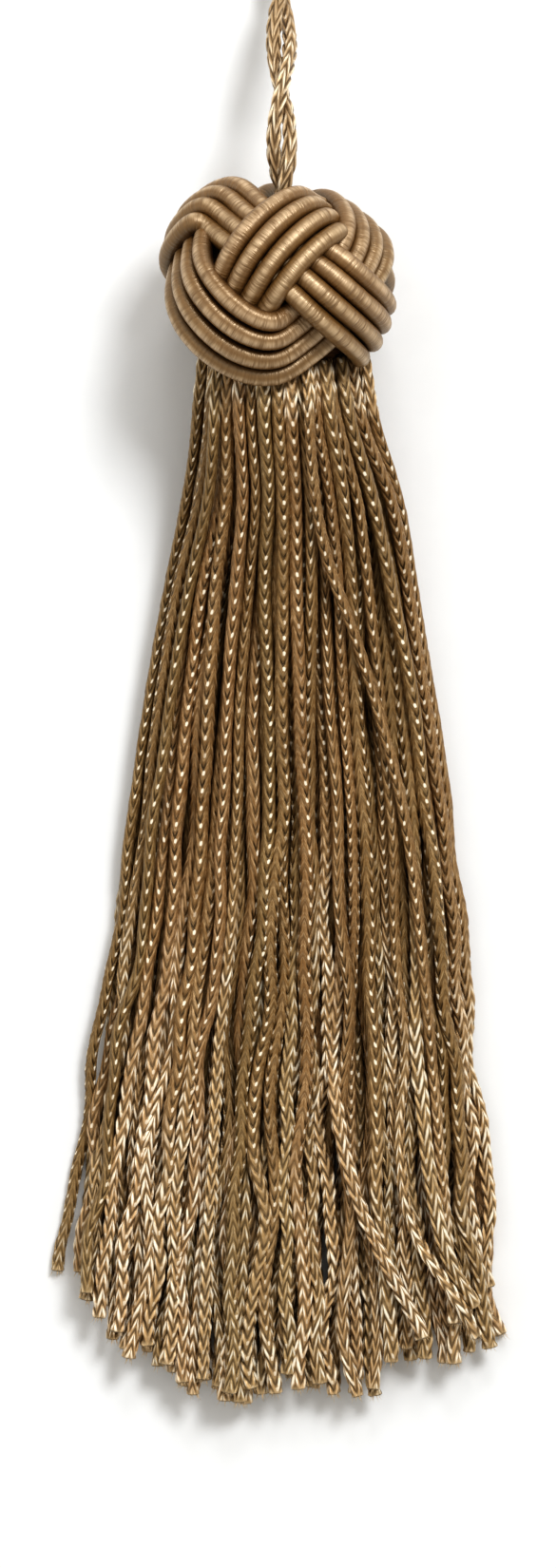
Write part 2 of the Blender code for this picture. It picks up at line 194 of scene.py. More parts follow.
def smooth_round(rows: Array, reach: float, step: float) -> Array:
    """Round off a closed line's sharp bends.

    Args:
        rows: Its points, or numbers carried along it, evenly spaced.
        reach: How far along the line each point is evened out.
        step: The length from one point to the next.

    Returns:
        The smoother rows.
    """
    half = int(3 * reach / step) + 1
    weight = bell(half, step, reach)
    shifts = range(-half, half + 1)
    return sum(np.roll(rows, shift, axis=0) * share for shift, share in zip(shifts, weight))


# -------- finishes


class Board:
    """Adds and joins the nodes of one node tree."""

    def __init__(self, tree: NodeTree) -> None:
        """Keep the tree that the nodes go to."""
        self.tree = tree

    def add(self, kind: str, inputs: dict | None = None, **settings: object) -> Node:
        """Add a node.

        Args:
            kind: The node's type, without the "ShaderNode" in front.
            inputs: Numbers, colours or sockets, by the input's name or number.
            settings: The node's own settings.

        Returns:
            The new node.
        """
        node = self.tree.nodes.new("ShaderNode" + kind)
        for key, value in settings.items():
            setattr(node, key, value)
        self.fill(node, inputs or {})
        return node

    def fill(self, node: Node, inputs: dict) -> None:
        """Feed several of a node's inputs, by their names or numbers."""
        for key, value in inputs.items():
            self.feed(node.inputs[key], value)

    def feed(self, target: Socket, value: object) -> None:
        """Join a socket to an input, or set the input's own value.

        Args:
            target: The input.
            value: The socket, number or colour for it.
        """
        if isinstance(value, Socket):
            self.tree.links.new(value, target)
        else:
            target.default_value = value

    def math(self, operation: str, *values: object) -> Socket:
        """Return the result of a Math node on up to three values."""
        inputs = dict(enumerate(values))
        return self.add("Math", inputs, operation=operation).outputs[0]

    def times(self, *values: object) -> Socket:
        """Return the product of two or more values."""
        return reduce(lambda product, value: self.math("MULTIPLY", product, value), values)

    def away(self, value: Socket, middle: float) -> Socket:
        """Return how far a value lies from a middle, on either side."""
        return self.math("ABSOLUTE", self.math("SUBTRACT", value, middle))

    def mix(self, share: object, first: object, second: object) -> Socket:
        """Return two colours mixed by a share."""
        inputs = {0: share, 6: first, 7: second}
        return self.add("Mix", inputs, data_type="RGBA").outputs[2]

    def span(self, value: Socket, between: Span, ends: Span = (0.0, 1.0)) -> Socket:
        """Return a value carried smoothly from one span, rising or falling, to another."""
        inputs = dict(enumerate((value, *between, *ends)))
        return self.add("MapRange", inputs, interpolation_type="SMOOTHSTEP").outputs[0]

    def value_of(self, name: str) -> Socket:
        """Return a number that the mesh carries on its points."""
        return self.add("Attribute", attribute_name=name).outputs["Fac"]

    def vector(self, x: object, y: object, z: object) -> Socket:
        """Return three numbers as one vector."""
        return self.add("CombineXYZ", {0: x, 1: y, 2: z}).outputs[0]

    def noise(self, place: Socket, scale: float, detail: float = 2.0) -> Socket:
        """Return smooth noise, about 0.5, at a place."""
        inputs = {"Vector": place, "Scale": scale, "Detail": detail}
        return self.add("TexNoise", inputs).outputs["Fac"]

    def bump(self, height: Socket, strength: float, depth: float) -> Socket:
        """Return the normal of a relief whose depth is in millimetres."""
        inputs = {"Height": height, "Strength": strength, "Distance": depth * MM}
        return self.add("Bump", inputs).outputs[0]


def new_group(name: str, inputs: dict[str, str], outputs: dict[str, str]) -> tuple[Board, Node, Node]:
    """Start a shader node group.

    Args:
        name: The group's name.
        inputs: The type of each input socket, by name.
        outputs: The type of each output socket, by name.

    Returns:
        A board to add the group's nodes with, and its input and output nodes.
    """
    tree = bpy.data.node_groups.new(name, "ShaderNodeTree")
    for in_out, sockets in (("INPUT", inputs), ("OUTPUT", outputs)):
        for key, kind in sockets.items():
            tree.interface.new_socket(key, in_out=in_out, socket_type="NodeSocket" + kind)
    return Board(tree), tree.nodes.new("NodeGroupInput"), tree.nodes.new("NodeGroupOutput")


@dataclass
class SharedEffects:
    """The effects that several finishes use, each built once as a group."""

    coarse_scale: float = 1.0
    coarse_share: float = 0.6
    fine_scale: float = 2.7
    fine_share: float = 0.4
    height_tone: Span = (0.3, 0.7)
    drift_scale: float = 110.0
    drift_share: float = 1.2
    hue_share: float = -0.012

    def __post_init__(self) -> None:
        """Build both groups."""
        self.filaments = self.build_filaments()
        self.dye = self.build_dye()

    def build_filaments(self) -> NodeTree:
        """Build the fine lines of silk filaments that lie side by side.

        Returns:
            A group that gives their tone, about 0.5, and their height.
        """
        inputs = {"Along": "Float", "Across": "Float", "Seed": "Float"}
        outputs = {"Tone": "Float", "Height": "Float"}
        board, given, result = new_group("silk_filaments", inputs, outputs)
        place = board.vector(*(given.outputs[key] for key in inputs))
        coarse = board.noise(place, self.coarse_scale, 2.0)
        fine = board.noise(place, self.fine_scale, 1.0)
        tone = board.math("MULTIPLY_ADD", fine, self.fine_share, board.times(coarse, self.coarse_share))
        board.fill(result, {"Tone": tone, "Height": board.span(tone, self.height_tone)})
        return board.tree

    def build_dye(self) -> NodeTree:
        """Build the uneven take-up of dye from yarn to yarn and along each.

        Returns:
            A group that gives the colour made a little lighter, darker or redder.
        """
        inputs = {"Colour": "Color", "Yarn": "Float", "Amount": "Float"}
        board, given, result = new_group("uneven_dye", inputs, {"Colour": "Color"})
        place = board.add("TexCoord").outputs["Object"]
        drift = board.noise(place, self.drift_scale)
        yarn = board.math("SUBTRACT", given.outputs["Yarn"], 0.5)
        slow = board.math("SUBTRACT", drift, 0.5)
        both = board.math("MULTIPLY_ADD", slow, self.drift_share, yarn)
        value = board.math("MULTIPLY_ADD", both, given.outputs["Amount"], 1.0)
        hue = board.math("MULTIPLY_ADD", yarn, self.hue_share, 0.5)
        changed = {"Color": given.outputs["Colour"], "Value": value, "Hue": hue}
        board.fill(result, {"Colour": board.add("HueSaturation", changed).outputs["Color"]})
        return board.tree

    def place_filaments(self, board: Board, along: Socket, across: Socket, seed: object) -> Node:
        """Place the filaments in a material's board and return their node."""
        inputs = {"Along": along, "Across": across, "Seed": seed}
        return board.add("Group", inputs, node_tree=self.filaments)

    def place_dye(self, board: Board, colour: Socket, yarn: object, amount: float) -> Socket:
        """Place the uneven dye in a material's board and return its colour."""
        inputs = {"Colour": colour, "Yarn": yarn, "Amount": amount}
        return board.add("Group", inputs, node_tree=self.dye).outputs["Colour"]


def opaque(colour: Colour) -> tuple[float, float, float, float]:
    """Return a colour with full cover."""
    return (*colour, 1.0)


def new_material(name: str) -> tuple[Material, Board, Node]:
    """Start a material.

    Args:
        name: The finish's name.

    Returns:
        The material, its board and its shader.
    """
    material = bpy.data.materials.new(name)
    material.use_nodes = True
    shader = material.node_tree.nodes["Principled BSDF"]
    return material, Board(material.node_tree), shader


@dataclass(frozen=True)
class WrappedGimpFinish:
    """Silk thread wound closely round a cord, with a painted highlight along each cord's outward ridge and
    painted shade on its flanks, beside the shader's own satin sheen.
    """

    name: str = "wrapped_gimp"
    silk: Colour = (0.134, 0.065, 0.016)
    # The painted shade's colour, on the cords' flanks and undersides where they lie against their neighbours.
    painted_flank_shade: Colour = (0.024, 0.008, 0.001)
    thread: Colour = (0.208, 0.112, 0.035)
    # The painted highlight's colour, along each cord's outward ridge.
    painted_ridge_highlight: Colour = (0.710, 0.545, 0.365)
    warm_light: Colour = (1.0, 0.82, 0.60)
    wrap_pitch: float = 0.20
    thread_scale: float = 1.6
    thread_share: float = 0.7
    bunch_scale: float = 1.2
    bunch_winding: float = 0.37
    bunch_share: float = 0.8
    bunch_height: float = 2.0
    thread_tone: Span = (0.50, 1.00)
    crown: float = 0.5
    highlight_edge: Span = (0.10, 0.01)
    highlight_tone: Span = (0.50, 0.95)
    highlight_share: float = 0.7
    flank_shade_edge: Span = (0.11, 0.31)
    roughness: float = 0.36
    rough_tone: Span = (0.2, 0.8)
    rougher: float = 0.12
    smoother: float = 0.06
    refraction: float = 1.8
    shine: float = 1.0
    relief: float = 1.0
    wrap_depth: float = 0.026
    dye_amount: float = 0.14

    def dress(self, effects: SharedEffects) -> Material:
        """Build the material.

        Args:
            effects: The shared groups.

        Returns:
            The finished material.
        """
        material, board, shader = new_material(self.name)
        laid = board.add("SeparateXYZ", {0: board.add("UVMap", uv_map="laid").outputs[0]})
        turn, length = laid.outputs[0], laid.outputs[1]
        yarn = board.value_of("yarn")
        winding = board.math("MULTIPLY_ADD", length, 1 / self.wrap_pitch, turn)
        threads = effects.place_filaments(board, board.times(turn, self.thread_scale), winding, yarn)
        bunch_turn, bunch_wind = board.times(turn, self.bunch_scale), board.times(winding, self.bunch_winding)
        bunches = effects.place_filaments(board, bunch_turn, bunch_wind, yarn)
        tone = threads.outputs["Tone"]
        own_share = board.times(tone, self.thread_share)
        fine = board.math("MULTIPLY_ADD", bunches.outputs["Tone"], self.bunch_share, own_share)
        colour = board.mix(board.span(fine, self.thread_tone), opaque(self.silk), opaque(self.thread))
        facing = board.away(turn, self.crown)
        # Painted highlight: a pale band along each cord's outward ridge, brighter where the threads are
        # lighter.
        painted_ridge_highlight = board.times(board.span(facing, self.highlight_edge), board.span(fine, self.highlight_tone))
        colour = board.mix(board.times(painted_ridge_highlight, self.highlight_share), colour, opaque(self.painted_ridge_highlight))
        # Painted shade: darker from the outward ridge round to the cord's flanks and underside.
        colour = board.mix(board.span(facing, self.flank_shade_edge), colour, opaque(self.painted_flank_shade))
        colour = effects.place_dye(board, colour, yarn, self.dye_amount)
        rough = self.roughness + self.rougher, self.roughness - self.smoother
        own_height = threads.outputs["Height"]
        height = board.math("MULTIPLY_ADD", bunches.outputs["Height"], self.bunch_height, own_height)
        board.fill(shader, {
            "Base Color": colour,
            "Roughness": board.span(tone, self.rough_tone, rough),
            "Normal": board.bump(height, self.relief, self.wrap_depth),
            "IOR": self.refraction,
            "Specular IOR Level": self.shine,
            "Specular Tint": opaque(self.warm_light),
        })
        return material


class StitchPlace:
    """The place on a strand that a finish colours, as sockets of its material.

    Course is the stitch's number with its part, and phase the part alone, which
    runs across a petal. Leg runs along it, to 1 at its upper end. Yarn and petal
    are the strand's and the petal's own numbers, and opened how loose it is.
    """

    def __init__(self, board: Board) -> None:
        """Read the place from what the mesh carries.

        Args:
            board: The material's board.
        """
        self.board = board
        self.course, self.leg, self.side = map(board.value_of, ("course", "leg", "side"))
        self.yarn, self.opened, self.petal = map(board.value_of, ("yarn", "opened", "petal"))
        self.phase = board.math("FRACT", self.course)


@dataclass(frozen=True)
class PetalMarks:
    """Where a petal's swell, its painted shade in the grooves, its painted lights and loop head glint, and
    its pit show; the pit is both painted dark and sunk by the bump.

    A span named for an edge is read across the petal, and one named for a root
    or a tip along it. A mark comes up over a span, or fades over a falling one.
    """

    middle: float = 0.52
    swell_edge: Span = (0.42, 0.02)
    swell_tip: Span = (1.0, 0.80)
    swell_root: Span = (0.0, 0.65)
    swell_root_share: Span = (0.45, 1.0)
    closed_swell: float = 0.3
    # Where the painted shade in the grooves lies, and how strong it is where the knitting is loose.
    crease_shade_edge: Span = (0.22, 0.44)
    crease_shade_tip: Span = (0.90, 1.0)
    crease_shade_root: Span = (0.50, 0.02)
    crease_shade_root_share: Span = (0.0, 0.5)
    open_crease_shade: float = 0.88
    # Where the painted highlights on the loose petals lie.
    light_middle: float = 0.50
    light_edge: Span = (0.33, 0.15)
    upper_root: Span = (0.52, 0.68)
    upper_tip: Span = (1.0, 0.90)
    upper_lean: float = 0.30
    upper_middle: float = 0.74
    upper_edge: Span = (0.22, 0.08)
    upper_patch: Span = (0.18, 0.44)
    upper_patch_share: Span = (0.20, 1.0)
    whole_root: Span = (0.12, 0.40)
    whole_tip: Span = (1.0, 0.82)
    whole_patch: Span = (0.56, 0.74)
    patch_scale: float = 95.0
    patch_by_yarn: float = 0.22
    patch_by_petal: float = 0.50
    # Where the painted glints on the loop heads and the painted shade in the pits lie.
    head_level: float = 0.38
    head_height: Span = (0.18, 0.10)
    head_edge: Span = (0.26, 0.16)
    head_side: float = -0.45
    head_width: Span = (0.80, 0.45)
    head_root: Span = (0.42, 0.28)
    pit_middle: float = 0.20
    pit_edge: Span = (0.15, 0.06)
    pit_root: Span = (0.52, 0.30)

    def swell(self, at: StitchPlace) -> Socket:
        """Return how far a petal swells out, most at its upper end.

        Args:
            at: The place on the strand.

        Returns:
            The socket of the height, from about -1 in a pit to 1.
        """
        board = at.board
        dome = board.times(
            board.span(board.away(at.phase, self.middle), self.swell_edge),
            board.span(at.leg, self.swell_tip),
            board.span(at.leg, self.swell_root, self.swell_root_share),
            board.math("MULTIPLY_ADD", at.opened, 1.0 - self.closed_swell, self.closed_swell),
        )
        pits = board.times(self.pits(at), board.math("SUBTRACT", at.opened, 1.0))
        return board.math("ADD", dome, pits)

    def crease_shade_amount(self, at: StitchPlace, closed_crease_shade: float) -> Socket:
        """Return how much shade is painted at a place for lying in the grooves between petals, from 0 to 1.

        Args:
            at: The place on the strand.
            closed_crease_shade: How dark the shade painted in the grooves of the closely knitted part is.

        Returns:
            The socket of the painted shade's strength.
        """
        board = at.board
        across = board.span(board.away(at.phase, self.middle), self.crease_shade_edge)
        upper = board.math("MAXIMUM", across, board.span(at.leg, self.crease_shade_tip))
        lower = board.times(board.span(at.leg, self.crease_shade_root, self.crease_shade_root_share), at.opened)
        opening = self.open_crease_shade - closed_crease_shade
        share = board.math("MULTIPLY_ADD", at.opened, opening, closed_crease_shade)
        return board.times(board.math("MAXIMUM", upper, lower), share)

    def lights(self, at: StitchPlace) -> Socket:
        """Return how strong the highlight painted on a loose petal is, from 0 to 1.

        Args:
            at: The place on the strand.

        Returns:
            The socket of the painted highlight, mostly at the petal's upper end.
        """
        board = at.board
        painted_ridge_highlight = board.span(board.away(at.phase, self.light_middle), self.light_edge)
        leant = board.math("MULTIPLY_ADD", at.leg, self.upper_lean, at.phase)
        patch = board.noise(board.add("TexCoord").outputs["Object"], self.patch_scale)
        for number, share in ((at.yarn, self.patch_by_yarn), (at.petal, self.patch_by_petal)):
            patch = board.math("MULTIPLY_ADD", board.math("SUBTRACT", number, 0.5), share, patch)
        upper = board.times(
            board.span(at.leg, self.upper_root),
            board.span(at.leg, self.upper_tip),
            board.span(board.away(leant, self.upper_middle), self.upper_edge),
            board.span(patch, self.upper_patch, self.upper_patch_share),
        )
        whole = board.times(
            board.span(at.leg, self.whole_root),
            board.span(at.leg, self.whole_tip),
            board.span(patch, self.whole_patch),
        )
        return board.times(painted_ridge_highlight, board.math("MAXIMUM", upper, whole))

    def heads(self, at: StitchPlace) -> Socket:
        """Return where glints are painted on the small loop heads, from 0 to 1.

        Args:
            at: The place on the strand.

        Returns:
            The socket of the painted glint.
        """
        board = at.board
        level = board.math("FRACT", board.math("MULTIPLY_ADD", at.leg, -ChainStitch.slant, at.course))
        tall = board.span(board.away(level, self.head_level), self.head_height)
        slanted = board.span(board.away(at.phase, self.middle), self.head_edge)
        wide = board.span(board.away(at.side, self.head_side), self.head_width)
        return board.times(tall, slanted, board.times(board.span(at.leg, self.head_root), wide))

    def pits(self, at: StitchPlace) -> Socket:
        """Return where the small notches above the loop heads lie, from 0 to 1; shade is painted in them, and
        the bump sinks them where the knitting is close.
        """
        thin = at.board.span(at.board.away(at.phase, self.pit_middle), self.pit_edge)
        return at.board.times(thin, at.board.span(at.leg, self.pit_root))


@dataclass(frozen=True)
class ChainFinish:
    """Lustrous silk chain: petals with painted shade in their grooves, painted glints on their loop heads and
    painted shade in their pits.

    Silk is the colour of the closely knitted part and loose that of the rest,
    lighter than silk by painted sheen of the open petals; crown is the lightest
    filaments, painted_shade the shade painted in the grooves between the petals and
    in the pits, and head the colour of the highlights painted on the loop heads and
    the petals. A field with "shown" is the number at which a mark comes up, and
    "shown_share" how strong it is before and after.
    """

    name: str
    silk: Colour
    # The loose part's colour: the silk made lighter, as painted sheen of its open petals.
    loose: Colour
    crown: Colour
    # The painted shade's colour, for the grooves between petals and the pits.
    painted_shade: Colour
    # The colour of the highlights painted on the loop heads and the loose petals.
    head: Colour
    roughness: float
    dye_amount: float
    # How strong the painted shade in the grooves of the closely knitted part is.
    closed_crease_shade: float = 0.40
    marks: PetalMarks = PetalMarks()
    filament_length: float = 1.6
    filament_count: float = 9.0
    yarn_seed: float = 61.0
    stitch_seed: float = 1.37
    crown_tone: Span = (0.42, 0.85)
    lights_from: Span = (0.10, 0.60)
    open_marks: float = 0.5
    head_drift: float = 0.13
    head_yarn: float = 53.0
    head_petal: float = 0.25
    head_shown: Span = (0.46, 0.66)
    head_shown_share: Span = (0.14, 1.0)
    pit_shown: Span = (0.1, 0.9)
    pit_shown_share: Span = (0.55, 1.0)
    roughness_change: float = 0.24
    relief: float = 0.10
    bulge_depth: float = 0.13
    refraction: float = 1.6
    shine: float = 0.8
    warm_light: Colour = (1.0, 0.78, 0.50)

    def head_glints_and_pit_shade(self, at: StitchPlace) -> tuple[Socket, Socket]:
        """Return how strongly the glints on the loop heads and the shade in the pits are painted.

        Args:
            at: The place on the strand.

        Returns:
            The sockets of the painted glints and of the painted pit shade, from 0 to 1.
        """
        board = at.board
        closed = board.math("SUBTRACT", 1.0, at.opened)
        left = board.math("MULTIPLY_ADD", closed, 1.0 - self.open_marks, self.open_marks)
        drift, yarn = board.times(at.course, self.head_drift), board.times(at.yarn, self.head_yarn)
        coming = board.noise(board.vector(drift, yarn, 0.0), 1.0, 1.0)
        shown = board.math("MULTIPLY_ADD", at.petal, self.head_petal, coming)
        shown = board.span(shown, self.head_shown, self.head_shown_share)
        heads = board.times(self.marks.heads(at), left, shown)
        deep = board.span(at.petal, self.pit_shown, self.pit_shown_share)
        return heads, board.times(self.marks.pits(at), left, deep)

    def dress(self, effects: SharedEffects) -> Material:
        """Build the material.

        Args:
            effects: The shared groups.

        Returns:
            The finished material.
        """
        material, board, shader = new_material(self.name)
        at = StitchPlace(board)
        own = board.times(board.math("FLOOR", at.course), self.stitch_seed)
        seed = board.math("MULTIPLY_ADD", at.yarn, self.yarn_seed, own)
        along, across = board.times(at.leg, self.filament_length), board.times(at.phase, self.filament_count)
        filaments = effects.place_filaments(board, along, across, seed)
        tone = filaments.outputs["Tone"]
        # The loose part is painted lighter than the close part, standing in for the sheen of its open petals.
        body = board.mix(at.opened, opaque(self.silk), opaque(self.loose))
        colour = board.mix(board.span(tone, self.crown_tone), body, opaque(self.crown))
        # Painted shade: the grooves between petals, and the lower ends of the loose petals, are darkened.
        crease_shade_amount = self.marks.crease_shade_amount(at, self.closed_crease_shade)
        colour = board.mix(crease_shade_amount, colour, opaque(self.painted_shade))
        # Painted highlights: pale patches on the loose petals, mostly at their upper ends, and whole petals
        # here and there.
        lights = board.times(self.marks.lights(at), board.span(at.opened, self.lights_from))
        colour = board.mix(lights, colour, opaque(self.head))
        colour = effects.place_dye(board, colour, at.yarn, self.dye_amount)
        # Painted highlights on the loop heads, and painted shade in the pits beside them.
        heads, pits = self.head_glints_and_pit_shade(at)
        colour = board.mix(heads, colour, opaque(self.head))
        colour = board.mix(pits, colour, opaque(self.painted_shade))
        colour = board.mix(board.value_of("cut"), colour, opaque(self.crown))
        roughest = self.roughness + self.roughness_change / 2
        fibres = board.times(filaments.outputs["Height"], self.relief)
        height = board.math("ADD", fibres, self.marks.swell(at))
        board.fill(shader, {
            "Base Color": colour,
            "Roughness": board.math("MULTIPLY_ADD", tone, -self.roughness_change, roughest),
            "Normal": board.bump(height, 1.0, self.bulge_depth),
            "IOR": self.refraction,
            "Specular IOR Level": self.shine,
            "Specular Tint": opaque(self.warm_light),
        })
        return material


CHAINETTE = ChainFinish(
    name="chainette",
    silk=(0.221, 0.122, 0.042),
    loose=(0.650, 0.442, 0.225),
    crown=(0.780, 0.595, 0.360),
    painted_shade=(0.020, 0.009, 0.002),
    head=(1.000, 0.920, 0.760),
    roughness=0.34,
    dye_amount=0.26,
)
LOOP_SILK = ChainFinish(
    name="loop_silk",
    silk=(0.395, 0.262, 0.138),
    loose=(0.500, 0.350, 0.200),
    crown=(0.800, 0.655, 0.460),
    painted_shade=(0.062, 0.030, 0.009),
    head=(0.930, 0.820, 0.640),
    roughness=0.30,
    dye_amount=0.22,
    closed_crease_shade=0.70,
)


@dataclass(frozen=True)
class BindingFinish:
    """Dark wound thread of the former in the head and the skirt's heading."""

    name: str = "wound_binding"
    silk: Colour = (0.130, 0.066, 0.020)
    shadow: Colour = (0.035, 0.014, 0.003)
    along_scale: float = 300.0
    across_scale: float = 3600.0
    yarn: float = 0.5
    dye_amount: float = 0.2
    roughness: float = 0.85
    shine: float = 0.15
    relief: float = 0.5
    wrap_depth: float = 0.08

    def dress(self, effects: SharedEffects) -> Material:
        """Build the material.

        Args:
            effects: The shared groups.

        Returns:
            The finished material.
        """
        material, board, shader = new_material(self.name)
        place = board.add("SeparateXYZ", {0: board.add("TexCoord").outputs["Object"]})
        scales = (self.along_scale, self.across_scale, self.along_scale)
        scaled = (board.times(place.outputs[axis], scale) for axis, scale in enumerate(scales))
        height = effects.place_filaments(board, *scaled).outputs["Height"]
        colour = board.mix(height, opaque(self.shadow), opaque(self.silk))
        colour = effects.place_dye(board, colour, self.yarn, self.dye_amount)
        board.fill(shader, {
            "Base Color": colour,
            "Roughness": self.roughness,
            "Normal": board.bump(height, self.relief, self.wrap_depth),
            "Specular IOR Level": self.shine,
        })
        return material


@dataclass(frozen=True)
class TableFinish:
    """Matt white card, hardly grained."""

    name: str = "white_card"
    white: Colour = (0.865, 0.886, 0.905)
    grain: Colour = (0.856, 0.877, 0.896)
    grain_scale: float = 240.0
    grain_span: Span = (0.35, 0.65)
    roughness: float = 0.9
    shine: float = 0.1

    def dress(self) -> Material:
        """Build the material.

        Returns:
            The finished material.
        """
        material, board, shader = new_material(self.name)
        grain = board.noise(board.add("TexCoord").outputs["Object"], self.grain_scale, 3.0)
        speck = board.span(grain, self.grain_span)
        board.fill(shader, {
            "Base Color": board.mix(speck, opaque(self.grain), opaque(self.white)),
            "Roughness": self.roughness,
            "Specular IOR Level": self.shine,
        })
        return material


# -------- head knot


class NearNode(NamedTuple):
    """Where the band's middle lies, seen from above, from the head's middle."""

    x: float
    y: float


class FarNode(NamedTuple):
    """How a node on the far side is moved along and up the ball, and pressed in."""

    along: float
    up: float
    pressed: float


NEAR_NODES = {
    "turn_45": NearNode(4.7, 7.1),
    "turn_315": NearNode(-6.1, 7.9),
    "upper_0": NearNode(-0.35, 3.2),
    "upper_90": NearNode(8.8, 6.0),
    "lower_45": NearNode(6.2, -2.5),
    "lower_315": NearNode(-6.2, -4.6),
    "foot_0": NearNode(0.6, -7.1),
}
FAR_NODES = {
    "turn_135": FarNode(0.0, -1.8, 1.2),
    "turn_225": FarNode(0.0, -1.2, 1.8),
    "foot_270": FarNode(0.5, 0.0, 1.8),
    "foot_90": FarNode(0.0, 0.0, 1.0),
    "lower_135": FarNode(1.4, 0.0, 0.0),
    "upper_180": FarNode(1.4, 0.0, 0.0),
    "foot_180": FarNode(1.4, 0.0, 0.0),
}
NODE_KINDS = ("turn", "upper", "lower", "foot", "lower", "upper")


class GimpWave(NamedTuple):
    """A slow change of a cord's radius, in waves along all of it."""

    height: float
    count: int
    shift: float


GIMP_WAVES = (GimpWave(0.022, 13, 2.1), GimpWave(0.016, 31, 1.0))

# How far the head bulges or is pressed in, seen from above, every 45 degrees
# from +X round to +Y, as a share of its width. The middle keeps its places.
HEAD_SWELL = (-0.03, -0.13, -0.07, 0.0, 0.0, 0.09, 0.09, 0.06)
SWELL_STEP = 45.0


def smooth_between(values: Array, place: Array) -> Array:
    """Read a periodic smooth curve through values.

    Args:
        values: The curve's values, one step apart.
        place: Where to read it, in steps.

    Returns:
        The curve's value at each place.
    """
    count = len(values)
    step = np.floor(place).astype(int)
    part = place - step
    before = values[(step - 1) % count]
    here = values[step % count]
    there = values[(step + 1) % count]
    after = values[(step + 2) % count]
    linear = (there - before) * part
    square = (2 * before - 5 * here + 4 * there - after) * part ** 2
    cube = (3 * here - before - 3 * there + after) * part ** 3
    return 0.5 * (2 * here + linear + square + cube)


